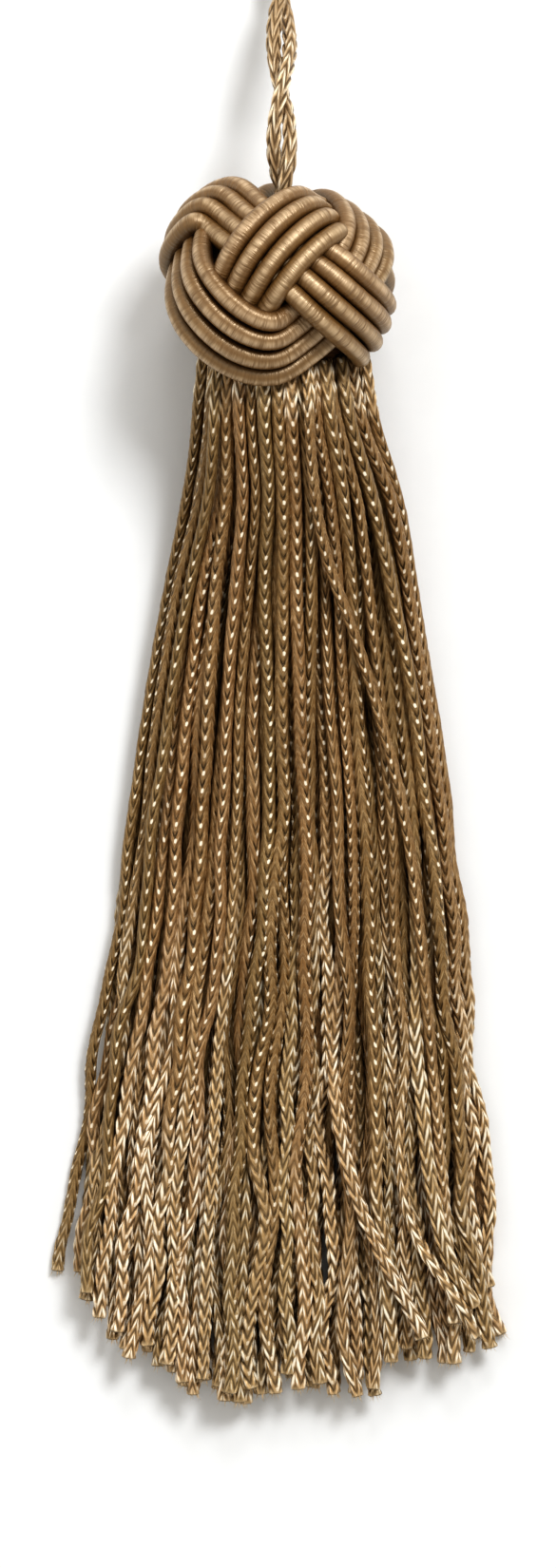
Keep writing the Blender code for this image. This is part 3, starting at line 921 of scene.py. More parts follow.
@dataclass
class HeadKnot:
    """The ball knot, laid four cords wide in wrapped gimp cord.

    The cords follow one band, which turns round the head in leads and swings
    to the pole and back in bights.
    """

    radius: float = 11.45
    centre_z: float = 12.3
    squash: float = 0.93
    tilt: float = np.radians(12.0)
    former_radius: float = 9.9
    former_ridge: float = 0.12
    former_ridges: int = 24
    former_ridge_shift: float = 1.9
    former_rest: float = 0.3
    former_rings: int = 60
    former_sides: int = 96
    gimp_radius: float = 1.06
    gimp_uneven: float = 0.020
    gimp_salt: float = 3.0
    first_yarn: float = 0.35
    yarn_step: float = 0.1
    passes: int = 4
    spacing: float = 2.10
    lift: float = 1.10
    sharpness: float = 0.25
    leads: int = 3
    bights: int = 4
    latitude: float = np.radians(13.5)
    amplitude: float = np.radians(44.5)
    phase: float = np.radians(45.0)
    bloom: float = 0.10
    node_step: float = 15.0
    node_count: int = 24
    meridian_step: int = 45
    swell_from: float = 5.0
    swell_to: float = 12.0
    band_rounding: float = 1.2
    cord_rounding: float = 0.8
    rings: int = 1150
    sides: int = 16
    rest_height: float = 0.01

    def on_ball(self, longitude: Array, latitude: Array) -> Array:
        """Return unit vectors; longitude 0 faces up, and the pole lies along the loop."""
        across, up = np.cos(latitude) * np.sin(longitude), np.cos(latitude) * np.cos(longitude)
        return np.stack([across, np.sin(latitude), up], axis=-1)

    def lean(self, points: Array) -> Array:
        """Squash along the pole, then tip the pole up from the surface.

        Args:
            points: Places from the middle of the upright head.

        Returns:
            The same places on the head as it lies.
        """
        along = points[..., 1] * self.squash
        up = points[..., 2]
        y = along * np.cos(self.tilt) - up * np.sin(self.tilt)
        z = along * np.sin(self.tilt) + up * np.cos(self.tilt)
        return np.stack([points[..., 0], y, z], axis=-1)

    def unlean(self, points: Array) -> Array:
        """Undo lean.

        Args:
            points: Places on the head as it lies.

        Returns:
            The same places on the upright head.
        """
        y, z = points[..., 1], points[..., 2]
        along = (y * np.cos(self.tilt) + z * np.sin(self.tilt)) / self.squash
        up = z * np.cos(self.tilt) - y * np.sin(self.tilt)
        return np.stack([points[..., 0], along, up], axis=-1)

    def angles_seen_from_above(self, place: NearNode) -> tuple[float, float]:
        """Find the ball's point over a place.

        Args:
            place: The place, seen from above.

        Returns:
            The point's longitude and latitude.
        """
        start = self.unlean(np.array([place.x, place.y, 0.0]))
        rise = self.unlean(np.array([0.0, 0.0, 1.0]))
        a, b = rise @ rise, start @ rise
        c = start @ start - self.radius ** 2
        point = start + rise * (-b + np.sqrt(b * b - a * c)) / a
        return np.arctan2(point[0], point[2]), np.arcsin(point[1] / self.radius)

    def even_band(self, travel: Array) -> tuple[Array, Array]:
        """Return longitude and latitude along an evenly laid band; 2 pi is all of it."""
        longitude = self.phase + self.leads * travel + self.bloom * np.sin(self.bights * travel)
        return longitude, self.latitude + self.amplitude * np.cos(self.bights * travel)

    def node_shift(self, index: int) -> tuple[float, float, float]:
        """Return how far the hand-laid band leaves the even one at a node.

        Args:
            index: The node's number along the band.

        Returns:
            The shift in longitude and latitude, and the depth pressed in.
        """
        meridian = self.meridian_step * (1 + index)
        name = f"{NODE_KINDS[index % len(NODE_KINDS)]}_{meridian % 360}"
        longitude, latitude = self.even_band(np.radians(self.node_step * index))
        if name in NEAR_NODES:
            wanted = self.angles_seen_from_above(NEAR_NODES[name])
            turn = (wanted[0] - longitude + np.pi) % (2 * np.pi) - np.pi
            return turn, wanted[1] - latitude, 0.0
        shift = FAR_NODES.get(name, FarNode(0.0, 0.0, 0.0))
        turn = np.radians(meridian) - longitude
        turn += shift.along / (self.radius * np.cos(latitude))
        return turn, shift.up / self.radius, shift.pressed

    def swell(self, points: Array) -> Array:
        """Bulge or press in the head's rim as HEAD_SWELL says.

        Args:
            points: Places from the middle of the head.

        Returns:
            The places moved outwards or inwards.
        """
        azimuth = np.degrees(np.arctan2(points[..., 1], points[..., 0])) % 360
        share = smooth_between(np.array(HEAD_SWELL), azimuth / SWELL_STEP)
        out = np.hypot(points[..., 0], points[..., 1])
        wider = 1 + share * ease(self.swell_from, self.swell_to, out)
        return points * np.stack([wider, wider, np.ones_like(wider)], axis=-1)

    def band_line(self) -> tuple[Array, Array]:
        """Lay the middle of the band through its nodes, over and under.

        Returns:
            Unit vectors to the band's middle, and its distances from the head's.
        """
        travel = np.linspace(0, 2 * np.pi, self.rings, endpoint=False)
        shifts = np.array([self.node_shift(index) for index in range(self.node_count)])
        place = np.degrees(travel) / self.node_step
        longitude, latitude = self.even_band(travel)
        longitude = longitude + smooth_between(shifts[:, 0], place)
        latitude = latitude + smooth_between(shifts[:, 1], place)
        wave = np.sin(2 * self.bights * travel)
        radius = self.radius - self.lift * wave / np.sqrt(wave ** 2 + self.sharpness)
        radius = radius - smooth_between(shifts[:, 2], place)
        rows = np.column_stack([self.on_ball(longitude, latitude) * self.radius, radius])
        rows, step = self.even_rings(rows)
        middle = smooth_round(rows[:, :3], self.band_rounding, step)
        return unit(middle), rows[:, 3]

    def pass_lines(self) -> list[Array]:
        """Lay the parallel cords side by side along the band.

        Returns:
            The closed centre line of each cord.
        """
        middle, radius = self.band_line()
        heading = unit(np.roll(middle, -1, axis=0) - np.roll(middle, 1, axis=0))
        side = np.cross(middle, heading)
        lines = []
        for index in range(self.passes):
            angle = (index - (self.passes - 1) / 2) * self.spacing / self.radius
            laid = middle * np.cos(angle) + side * np.sin(angle)
            laid = self.swell(self.lean(laid * radius[:, None]))
            even, step = self.even_rings(laid)
            lines.append(smooth_round(even, self.cord_rounding, step) + (0.0, 0.0, self.centre_z))
        return lines

    def even_rings(self, rows: Array) -> tuple[Array, float]:
        """Move a closed line's rows to even steps along it.

        Args:
            rows: Its points, and numbers carried along in further columns.

        Returns:
            The evenly spaced rows, and the step between them.
        """
        closed = np.vstack([rows, rows[:1]])
        far = along_line(closed[:, :3])
        wanted = np.linspace(0, far[-1], self.rings, endpoint=False)
        columns = [np.interp(wanted, far, column) for column in closed.T]
        return np.stack(columns, axis=1), far[-1] / self.rings

    def thickness(self, number: int) -> Array:
        """Return one cord's radius at each ring, with its unevenly wound turns.

        Args:
            number: Which of the parallel cords it is.

        Returns:
            The radii.
        """
        count = np.arange(self.rings)
        uneven = self.gimp_uneven * (spread_number(count, self.gimp_salt + number) - 0.5)
        slow = sum(
            wave.height * np.sin(2 * np.pi * count * wave.count / self.rings + number * wave.shift)
            for wave in GIMP_WAVES
        )
        return self.gimp_radius + uneven + slow

    def gimp_tube(self, line: Array, number: int) -> Surface:
        """Sweep one cord along its closed line.

        Args:
            line: The cord's centre line.
            number: Which of the parallel cords it is.

        Returns:
            The cord's surface.
        """
        middle = np.array([0.0, 0.0, self.centre_z])
        heading = unit(np.roll(line, -1, axis=0) - np.roll(line, 1, axis=0))
        outward = line - middle
        outward = unit(outward - (outward * heading).sum(axis=1)[:, None] * heading)
        across = np.cross(heading, outward)
        angle = np.pi + 2 * np.pi * np.arange(self.sides) / self.sides
        ring = outward[:, None] * np.cos(angle)[:, None] + across[:, None] * np.sin(angle)[:, None]
        points = line[:, None] + ring * self.thickness(number)[:, None, None]
        points[..., 2] = np.maximum(points[..., 2], self.rest_height)
        step = along_line(np.vstack([line, line[:1]]))[-1] / self.rings
        i = np.repeat(np.arange(self.rings), self.sides)
        j = np.tile(np.arange(self.sides), self.rings)
        triangles, laid = [], []
        for corners in (((i, j), (i + 1, j), (i + 1, j + 1)), ((i, j), (i + 1, j + 1), (i, j + 1))):
            numbers = [a % self.rings * self.sides + b % self.sides for a, b in corners]
            triangles.append(np.stack(numbers, axis=1))
            places = [np.stack([b / self.sides, a * step], axis=1) for a, b in corners]
            laid.append(np.stack(places, axis=1))
        points = points.reshape(-1, 3)
        values = {"yarn": np.full(len(points), self.first_yarn + self.yarn_step * number)}
        surface = Surface(points, np.concatenate(triangles), values, np.concatenate(laid))
        return surface.facing_out()

    def former_ball(self) -> Surface:
        """Build the wound former that shows dark between the cords.

        Returns:
            The former's surface.
        """
        tall = np.linspace(-np.pi / 2, np.pi / 2, self.former_rings + 1)
        turn = 2 * np.pi * np.arange(self.former_sides) / self.former_sides
        points = [self.on_ball(np.array([0.0]), tall[:1]) * self.former_radius]
        for number, latitude in enumerate(tall[1:-1]):
            wave = np.sin(turn * self.former_ridges + number * self.former_ridge_shift)
            ridge = self.former_radius + self.former_ridge * wave
            points.append(self.on_ball(turn, np.full(self.former_sides, latitude)) * ridge[:, None])
        points.append(self.on_ball(np.array([0.0]), tall[-1:]) * self.former_radius)
        points = self.swell(self.lean(np.concatenate(points))) + (0.0, 0.0, self.centre_z)
        points[:, 2] = np.maximum(points[:, 2], self.former_rest)
        return stacked_rings(points, self.former_sides)

    def build(self, effects: SharedEffects) -> None:
        """Build and dress the cords and the former inside them.

        Args:
            effects: The shared groups.
        """
        tubes = [self.gimp_tube(line, number) for number, line in enumerate(self.pass_lines())]
        cords = make_piece("knot_gimp_cords", join_surfaces(tubes), WrappedGimpFinish().dress(effects))
        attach(cords, "root")
        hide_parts("head_knot")
        binding = BindingFinish().dress(effects)
        former = make_piece("knot_former", self.former_ball(), binding)
        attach(former, "root")


# -------- knitted chain


class Salt(IntEnum):
    """The salts that keep a strand's own small differences apart."""

    PITCH = 3
    SLANT = 4
    SKEW = 5
    LEAN = 6
    THICKNESS = 7
    SHORTER = 50
    UNDER_SHORTER = 51
    LONG_WAVE = 60
    SHORT_WAVE = 61
    LONG_WAVE_SIZE = 65
    SHORT_WAVE_SIZE = 66
    FIBRE_TURN = 70
    FIBRE_OUT = 71
    FIBRE_REACH = 72
    ROLL_START = 80
    ROLL_WIDE = 81
    ROLL_RATE = 82
    ROLL_SWAY = 83
    OPEN_PLACE = 84
    LOOSE_ROLL = 85
    OPEN_SHARE = 86
    NECK_PLACE = 87
    NECK_SHARE = 88
    YARN = 90
    HAND = 91


# What a cut end's points carry for the finish.
CUT_END = {"course": 0.5, "leg": 0.6, "side": 0.0, "opened": 1.0, "petal": 0.5, "cut": 1.0}


@dataclass
class ChainStitch:
    """A narrow knitted tube: three columns of V-shaped stitches round it.

    Each leg of a V is a petal. The mesh's rings slant with the legs, so a ring
    stays in its groove or on its crown all the way round.
    """

    pitch: float = 1.66
    slant: float = 0.95
    columns: int = 3
    lines_per_leg: int = 3
    ring_places: tuple[float, ...] = (0.0, 0.22, 0.5, 0.78)
    ring_relief: tuple[float, ...] = (0.0, 0.82, 1.0, 0.70, 0.0)
    leg_places: tuple[float, ...] = (0.0, 0.33, 0.67, 1.0)
    leg_relief: tuple[float, ...] = (0.20, 0.60, 1.0, 0.35)
    outer: float = 0.68
    open_swell: float = 0.13
    tight_depth: float = 0.05
    open_depth: float = 0.33
    mark_places: tuple[float, ...] = (0.0, 0.22, 0.5, 0.78)
    pit_share: tuple[float, ...] = (0.2, 1.0, 0.0, 0.0)
    head_share: tuple[float, ...] = (0.0, 0.0, 1.0, 0.2)
    mark_reach: float = 1.6
    mark_fall: float = 3.0
    middle_width: float = 0.1
    pit_depth: float = 0.14
    open_pit: float = 0.5
    head_rise: float = 0.07
    uneven: float = 0.27
    closed_uneven: float = 0.25
    petal_mixing: int = 7
    hand_variety: float = 0.25
    slant_variety: float = 1.6
    variety_middle: float = 0.4
    skew: float = 0.5
    end_swell: float = 0.05
    end_length: float = 2.5
    cut_length: float = 0.35
    cut_share: float = 0.6
    cap_share: float = 0.72
    cap_rise: float = 0.12
    cap_dip: float = 0.05
    rest_height: float = 0.01

    def leg_of_lines(self) -> Array:
        """Return how far from its column's middle each lengthwise line lies."""
        rising = np.arange(self.lines_per_leg) / self.lines_per_leg
        return np.tile(np.concatenate([rising, 1 - rising]), self.columns)

    def side_of_lines(self) -> Array:
        """Return 1 or -1 beside a column's middle, and 0 on it and between columns."""
        half = np.minimum(np.arange(self.lines_per_leg), 1.0)
        return np.tile(np.concatenate([half, -half]), self.columns)

    def depth(self, course: Array, leg: Array, side: Array,
              opened: Array) -> Array:
        """Return how far the surface lies below the petals' crowns.

        Args:
            course: The stitch number, with its part.
            leg: How far from the column's middle, from 0 to 1.
            side: Which side of the column's middle, from -1 to 1.
            opened: How loose the knitting is, from 0 to 1.

        Returns:
            The depth in millimetres.
        """
        phase = course - np.floor(course)
        rise = np.interp(phase, (*self.ring_places, 1.0), self.ring_relief)
        rise = rise * np.interp(leg, self.leg_places, self.leg_relief)
        depth = (self.tight_depth + (self.open_depth - self.tight_depth) * opened) * (1 - rise)
        near = np.clip(self.mark_reach - leg * self.mark_fall, 0, 1)
        pit = near * np.interp(phase, self.mark_places, self.pit_share)
        head = near * np.maximum(-side, leg < self.middle_width)
        head = head * np.interp(phase, self.mark_places, self.head_share)
        return depth + self.pit_depth * pit * (1 - self.open_pit * opened) - self.head_rise * head

    def varied(self, size: float, share: float, number: float) -> float:
        """Return a size as one strand has it, with its own number for it."""
        return size * (1 + share * (spread_number(0, number) - self.variety_middle))

    def strand(self, line: Array, roll: Array, opened: Array, yarn: float,
               hand: int = 1) -> Surface:
        """Knit one strand along a line.

        Args:
            line: Points of its centre line, close together.
            roll: How far it has turned about itself at each point, in radians.
            opened: How loose it is at each point, from 0 to 1.
            yarn: The strand's own number from 0 to 1, for its dye.
            hand: Which side of the loop heads their pits lie on, 1 or -1.

        Returns:
            The strand's closed surface.
        """
        far = along_line(line)
        total = far[-1]
        heading = unit(np.gradient(line, axis=0))
        up = unit(np.array([0.0, 0.0, 1.0]) - heading[:, 2:3] * heading)
        across = np.cross(heading, up)
        legs, lines = self.leg_of_lines(), 2 * self.lines_per_leg * self.columns
        pitch = self.varied(self.pitch, self.hand_variety, yarn + Salt.PITCH)
        slant = self.varied(self.slant, self.slant_variety * self.hand_variety, yarn + Salt.SLANT)
        skew = self.skew * (spread_number(0, yarn + Salt.SKEW) - 0.5)
        lean = 2 * np.pi * (np.arange(lines) / lines + spread_number(0, yarn + Salt.LEAN))
        offset = slant * legs + skew * np.sin(lean)
        offset -= offset.min()
        stitches = int(np.ceil(total / pitch + offset.max())) + 1
        marks = (np.arange(stitches)[:, None] + np.array(self.ring_places)[None, :]).ravel()
        place = (marks[:, None] - offset[None, :]) * pitch
        inside = np.clip(place, 0.0, total)
        course = inside / pitch + offset[None, :]
        leg = np.broadcast_to(legs, course.shape)
        side = np.broadcast_to(self.side_of_lines() * hand, course.shape)
        loose = np.interp(inside, far, opened)
        angle = 2 * np.pi * np.arange(lines)[None, :] / lines + np.interp(inside, far, roll)
        thickness = spread_number(0, yarn + Salt.THICKNESS) - 0.5
        plump = self.outer * (1 + self.hand_variety * thickness)
        size = plump + self.open_swell * loose - self.depth(course, leg, side, loose)
        petal = np.floor(course) * self.petal_mixing + np.arange(lines) // self.lines_per_leg
        mixed = spread_number(petal, yarn)
        unevenness = self.closed_uneven + (1 - self.closed_uneven) * loose
        size = size + self.uneven * unevenness * (mixed - 0.5)
        size = size + self.end_swell * ease(total - self.end_length, total, inside)
        ring = self.read(up, far, inside) * np.cos(angle)[..., None]
        ring = ring + self.read(across, far, inside) * np.sin(angle)[..., None]
        points = self.read(line, far, inside) + ring * size[..., None]
        points[..., 2] = np.maximum(points[..., 2], self.rest_height)
        cut = ease(total - self.cut_length, total, inside) * self.cut_share
        values = {"course": course, "leg": leg, "side": side, "opened": loose, "petal": mixed, "cut": cut}
        number = self.kept_rings(place, total)
        body = Surface(points.reshape(-1, 3), np.concatenate(self.side_triangles(number, legs)),
                       {name: numbers.ravel() for name, numbers in values.items()})
        self.close_end(body, number[0], line[0], -heading[0], False)
        self.close_end(body, number[-1], line[-1], heading[-1], True)
        body.values["yarn"] = np.full(len(body.points), yarn)
        return self.without_spare_points(body).facing_out()

    @staticmethod
    def kept_rings(place: Array, total: float) -> Array:
        """Gather the points of the rings that lie past an end on that end.

        Args:
            place: Where along the strand each ring's points would lie.
            total: The strand's length.

        Returns:
            Each ring's point numbers.
        """
        rings, lines = place.shape
        number = np.arange(rings * lines).reshape(rings, lines)
        first = (place <= 0).sum(axis=0) - 1
        last = rings - (place >= total).sum(axis=0)
        level = np.clip(np.arange(rings)[:, None], first[None, :], last[None, :])
        return np.take_along_axis(number, level, axis=0)

    def close_end(self, body: Surface, rim: Array, centre: Array, way: Array,
                  far_end: bool) -> None:
        """Close one cut end with a face that stands out round its rim.

        Args:
            body: The open surface, which is added to.
            rim: The point numbers round its end.
            centre: The middle of the end.
            way: The direction out of the end.
            far_end: Whether it is the end of the line and not its start.
        """
        inner = centre + (body.points[rim] - centre) * self.cap_share + way * self.cap_rise
        start = len(body.points)
        body.points = np.vstack([body.points, inner, centre - way * self.cap_dip])
        for name, value in CUT_END.items():
            body.values[name] = np.append(body.values[name], np.full(len(rim) + 1, value))
        inner_row = start + np.arange(len(rim))
        hub = np.full(len(rim), start + len(rim))
        next_rim, next_inner = np.roll(rim, -1), np.roll(inner_row, -1)
        corners = ((rim, next_rim, next_inner), (rim, next_inner, inner_row), (inner_row, next_inner, hub))
        cap = np.concatenate([np.stack(corner, axis=1) for corner in corners])
        cap = cap[:, ::-1] if far_end else cap
        triangles = np.concatenate([body.triangles, cap])
        after = np.roll(triangles, -1, axis=1)
        body.triangles = triangles[(triangles != after).all(axis=1)]

    @staticmethod
    def read(rows: Array, far: Array, place: Array) -> Array:
        """Return rows read at places along the line they belong to."""
        return np.stack([np.interp(place, far, rows[:, axis]) for axis in range(3)], axis=-1)

    @staticmethod
    def side_triangles(number: Array, legs: Array) -> list[Array]:
        """Join the rings, cutting each field along its short diagonal.

        Args:
            number: Each ring's point numbers.
            legs: How far from its column's middle each lengthwise line lies.

        Returns:
            The triangles, in two halves.
        """
        a, b = number[:-1], number[1:]
        c, d = np.roll(number[1:], -1, axis=1), np.roll(number[:-1], -1, axis=1)
        rising = np.broadcast_to(np.roll(legs, -1) > legs, a.shape)
        third = np.where(rising, c, d)
        first = np.where(rising, a, b)
        triangles = [np.stack([a, b, third], axis=-1), np.stack([first, c, d], axis=-1)]
        return [rows.reshape(-1, 3) for rows in triangles]

    @staticmethod
    def without_spare_points(surface: Surface) -> Surface:
        """Leave out the points that no triangle uses.

        Args:
            surface: The surface.

        Returns:
            The same surface with the points renumbered.
        """
        used, triangles = np.unique(surface.triangles, return_inverse=True)
        values = {name: numbers[used] for name, numbers in surface.values.items()}
        return Surface(surface.points[used], triangles.reshape(-1, 3), values)


class Detail(Enum):
    """How finely a strand is knitted: in full, or plainer where others cover it."""

    FULL = ChainStitch()
    PLAIN = ChainStitch(lines_per_leg=2, ring_places=(0.0, 0.35, 0.7), ring_relief=(0.0, 1.0, 0.8, 0.0))


# -------- skirt


class Station(NamedTuple):
    """The skirt's outline at one distance from the head."""

    y: float
    left: float
    right: float
    height: float
    bottom: float
    stray: float


class Place(NamedTuple):
    """A place seen from above."""

    x: float
    y: float


STATIONS = (
    Station(-14.0, -9.4, 9.6, 15.4, 2.6, 0.0),
    Station(-22.0, -9.7, 12.2, 12.8, 0.9, 0.0),
    Station(-31.0, -12.2, 14.1, 9.9, 0.0, 0.0),
    Station(-44.0, -14.5, 16.4, 8.3, 0.0, 0.0),
    Station(-56.0, -16.2, 18.4, 7.4, 0.0, 0.0),
    Station(-68.0, -17.9, 19.7, 6.9, 0.0, 0.3),
    Station(-80.0, -20.1, 20.5, 6.4, 0.0, 0.9),
    Station(-92.0, -22.3, 21.8, 6.1, 0.0, 1.5),
    Station(-104.0, -24.0, 23.1, 5.8, 0.0, 2.2),
    Station(-118.0, -26.2, 25.4, 5.5, 0.0, 2.4),
)
END_LINE = (
    Place(-24.5, -107.3),
    Place(-21.0, -107.8),
    Place(-18.0, -110.0),
    Place(-15.5, -113.0),
    Place(-11.5, -114.5),
    Place(-8.5, -117.5),
    Place(-3.0, -118.3),
    Place(0.4, -116.0),
    Place(4.5, -117.6),
    Place(9.0, -117.2),
    Place(10.5, -113.6),
    Place(17.5, -114.0),
    Place(24.5, -112.8),
)
# Strands that lie slantwise over the others, from where each leaves its place.
LAID_OVER = (
    (Place(2.9, -16.3), Place(3.7, -24.7), Place(5.2, -30.7), Place(6.9, -34.5), Place(8.3, -38.7),
     Place(10.1, -44.3), Place(12.5, -53.3), Place(14.0, -62.0), Place(15.2, -74.0), Place(16.6, -90.0),
     Place(18.3, -109.5)),
    (Place(5.4, -84.0), Place(6.6, -92.0), Place(8.6, -98.0), Place(11.1, -103.4), Place(13.4, -107.6),
     Place(15.7, -111.0)),
    (Place(12.2, -88.0), Place(12.8, -96.0), Place(13.8, -100.7), Place(16.3, -103.4), Place(18.6, -107.2),
     Place(21.2, -110.9)),
    (Place(14.6, -84.0), Place(15.8, -95.0), Place(17.2, -102.0), Place(18.6, -105.6), Place(20.4, -107.4),
     Place(21.9, -107.6)),
)


class Bundle(Enum):
    """The pieces that the skirt's strands are gathered into, by their share."""

    LEFT = (0.0, 0.2)
    MID_LEFT = (0.2, 0.4)
    MIDDLE = (0.4, 0.6)
    MID_RIGHT = (0.6, 0.8)
    RIGHT = (0.8, 1.0)


class HeadingRow(NamedTuple):
    """A ring of the heading: its size and its place along the pole, as shares."""

    size: float
    along: float


HEADING_ROWS = (
    HeadingRow(0.0, 0.0),
    HeadingRow(0.8, 0.0),
    HeadingRow(0.97, 0.12),
    HeadingRow(1.0, 0.35),
    HeadingRow(0.98, 0.5),
    HeadingRow(1.0, 0.65),
    HeadingRow(0.97, 0.88),
    HeadingRow(0.8, 1.0),
    HeadingRow(0.0, 1.0),
)


class StrandWave(NamedTuple):
    """A sideways wave of the strands, with the salts of its phase and size."""

    length: float
    phase_salt: Salt
    size_salt: Salt


STRAND_WAVES = (
    StrandWave(23.0, Salt.LONG_WAVE, Salt.LONG_WAVE_SIZE),
    StrandWave(11.0, Salt.SHORT_WAVE, Salt.SHORT_WAVE_SIZE),
)


def read_at(line: Array, y: Array | float, axis: int) -> Array:
    """Return a strand's x or z, axis 0 or 2, where it passes y on its way down."""
    return np.interp(-y, -line[:, 1], line[:, axis])


@dataclass
class StrandLay:
    """How each strand waves, turns about itself and loosens along its length."""

    wave: float = 0.85
    wave_from: float = -30.0
    wave_to: float = -105.0
    open_from: float = -68.0
    open_to: float = -106.0
    open_unevenness: float = 44.0
    least_open: float = 0.65
    neck_loose_from: float = -11.6
    neck_loose_to: float = -14.6
    neck_unevenness: float = 3.0
    neck_least_open: float = 0.25
    neck_variety: float = 0.60
    roll_start: float = 0.7
    wide_roll_start: float = 2.1
    narrow_share: float = 0.75
    roll_rate: float = 0.020
    loose_roll: float = 2.4
    loose_roll_from: float = 45.0
    loose_roll_to: float = 90.0
    sway: float = 0.25
    sway_length: float = 17.0
    sway_turn: float = 6.28

    def waved(self, line: Array, index: int) -> Array:
        """Give a strand its own slight waves, wider towards its end.

        Args:
            line: Its centre line, which is changed.
            index: The strand's number.

        Returns:
            The waved line.
        """
        y = line[:, 1]
        loose = ease(self.wave_from, self.wave_to, y) * self.wave
        for wave in STRAND_WAVES:
            phase = 2 * np.pi * spread_number(index, wave.phase_salt)
            share = spread_number(index, wave.size_salt) * (wave.length / STRAND_WAVES[0].length)
            line[:, 0] += loose * share * np.sin(2 * np.pi * y / wave.length + phase)
        return line

    def roll(self, line: Array, index: int) -> Array:
        """Return how far a strand has turned about itself along its line.

        Args:
            line: Its centre line.
            index: The strand's number.

        Returns:
            The turn at each point, in radians.
        """
        far = along_line(line)
        narrow = spread_number(index, Salt.ROLL_WIDE) < self.narrow_share
        start = spread_number(index, Salt.ROLL_START) - 0.5
        start = start * (self.roll_start if narrow else self.wide_roll_start)
        rate = (spread_number(index, Salt.ROLL_RATE) - 0.5) * self.roll_rate
        loose = ease(self.loose_roll_from, self.loose_roll_to, far)
        loose = loose * (spread_number(index, Salt.LOOSE_ROLL) - 0.5) * self.loose_roll
        phase = self.sway_turn * spread_number(index, Salt.ROLL_SWAY)
        return start + rate * far + loose + self.sway * np.sin(far / self.sway_length + phase)

    def opened(self, line: Array, index: int) -> Array:
        """Return how loose the knitting is along a strand.

        Args:
            line: Its centre line.
            index: The strand's number.

        Returns:
            The looseness at each point, from 0 to 1.
        """
        shift = (spread_number(index, Salt.OPEN_PLACE) - 0.5) * self.open_unevenness
        share = self.least_open + (1 - self.least_open) * spread_number(index, Salt.OPEN_SHARE)
        below = ease(self.open_from + shift, self.open_to + shift, line[:, 1]) * share
        drop = self.neck_unevenness * (spread_number(index, Salt.NECK_PLACE) - 0.5)
        at_neck = ease(self.neck_loose_to + drop, self.neck_loose_from + drop, line[:, 1])
        share = self.neck_least_open + self.neck_variety * spread_number(index, Salt.NECK_SHARE)
        return np.maximum(below, at_neck * share)


@dataclass
class FrayedTip:
    """The few filaments that stand out of a strand's cut end."""

    fibres: int = 9
    radius: float = 0.035
    thinner: float = 0.8
    numbers_apart: int = 31
    end_points: int = 4
    spread: float = 0.55
    sunk: float = 0.1
    least_reach: float = 0.35
    reach_variety: float = 0.75
    bend_out: float = 0.10
    least_out: float = 0.15
    out_variety: float = 0.35
    rest_height: float = 0.08
    cut: float = 0.8
    yarn: float = 0.5

    def build(self, line: Array, index: int) -> Surface:
        """Build the filaments at a strand's end.

        Args:
            line: The strand's centre line.
            index: Its number.

        Returns:
            Their joined surface.
        """
        heading = unit(line[-1] - line[-self.end_points])
        up = unit(np.array([0.0, 0.0, 1.0]) - heading[2] * heading)
        across = np.cross(heading, up)
        salts = (Salt.FIBRE_TURN, Salt.FIBRE_OUT, Salt.FIBRE_REACH)
        parts = []
        for number in range(self.fibres):
            own = index * self.numbers_apart + number
            turned, out, far = (float(spread_number(own, salt)) for salt in salts)
            turn = 2 * np.pi * turned
            side = up * np.cos(turn) + across * np.sin(turn)
            start = line[-1] + side * self.spread * np.sqrt(out) - heading * self.sunk
            reach = self.least_reach + self.reach_variety * far
            bend = start + heading * reach * 0.5 + side * self.bend_out
            tip = start + heading * reach + side * (self.least_out + self.out_variety * out)
            parts.append(self.fibre(np.array([start, bend, tip]), up, across))
        return join_surfaces(parts)

    def fibre(self, spine: Array, up: Array, across: Array) -> Surface:
        """Build one thin three-sided filament.

        Args:
            spine: Its start, bend and tip.
            up: A direction square to the strand.
            across: The direction square to both.

        Returns:
            Its closed surface.
        """
        spine[:, 2] = np.maximum(spine[:, 2], self.rest_height)
        turn = 2 * np.pi * np.arange(3) / 3
        ring = up * np.cos(turn)[:, None] + across * np.sin(turn)[:, None]
        points = np.concatenate([spine[0] + ring * self.radius,
                                 spine[1] + ring * self.radius * self.thinner, spine[2:3]])
        a = np.arange(3)
        b = (a + 1) % 3
        triangles = np.concatenate([
            np.stack([a, a + 3, b + 3], axis=1), np.stack([a, b + 3, b], axis=1),
            np.stack([a + 3, np.full(3, 6), b + 3], axis=1), np.array([[0, 1, 2]]),
        ])
        carried = {**CUT_END, "cut": self.cut, "yarn": self.yarn}
        values = {name: np.full(len(points), value) for name, value in carried.items()}
        return Surface(points, triangles, values).facing_out()


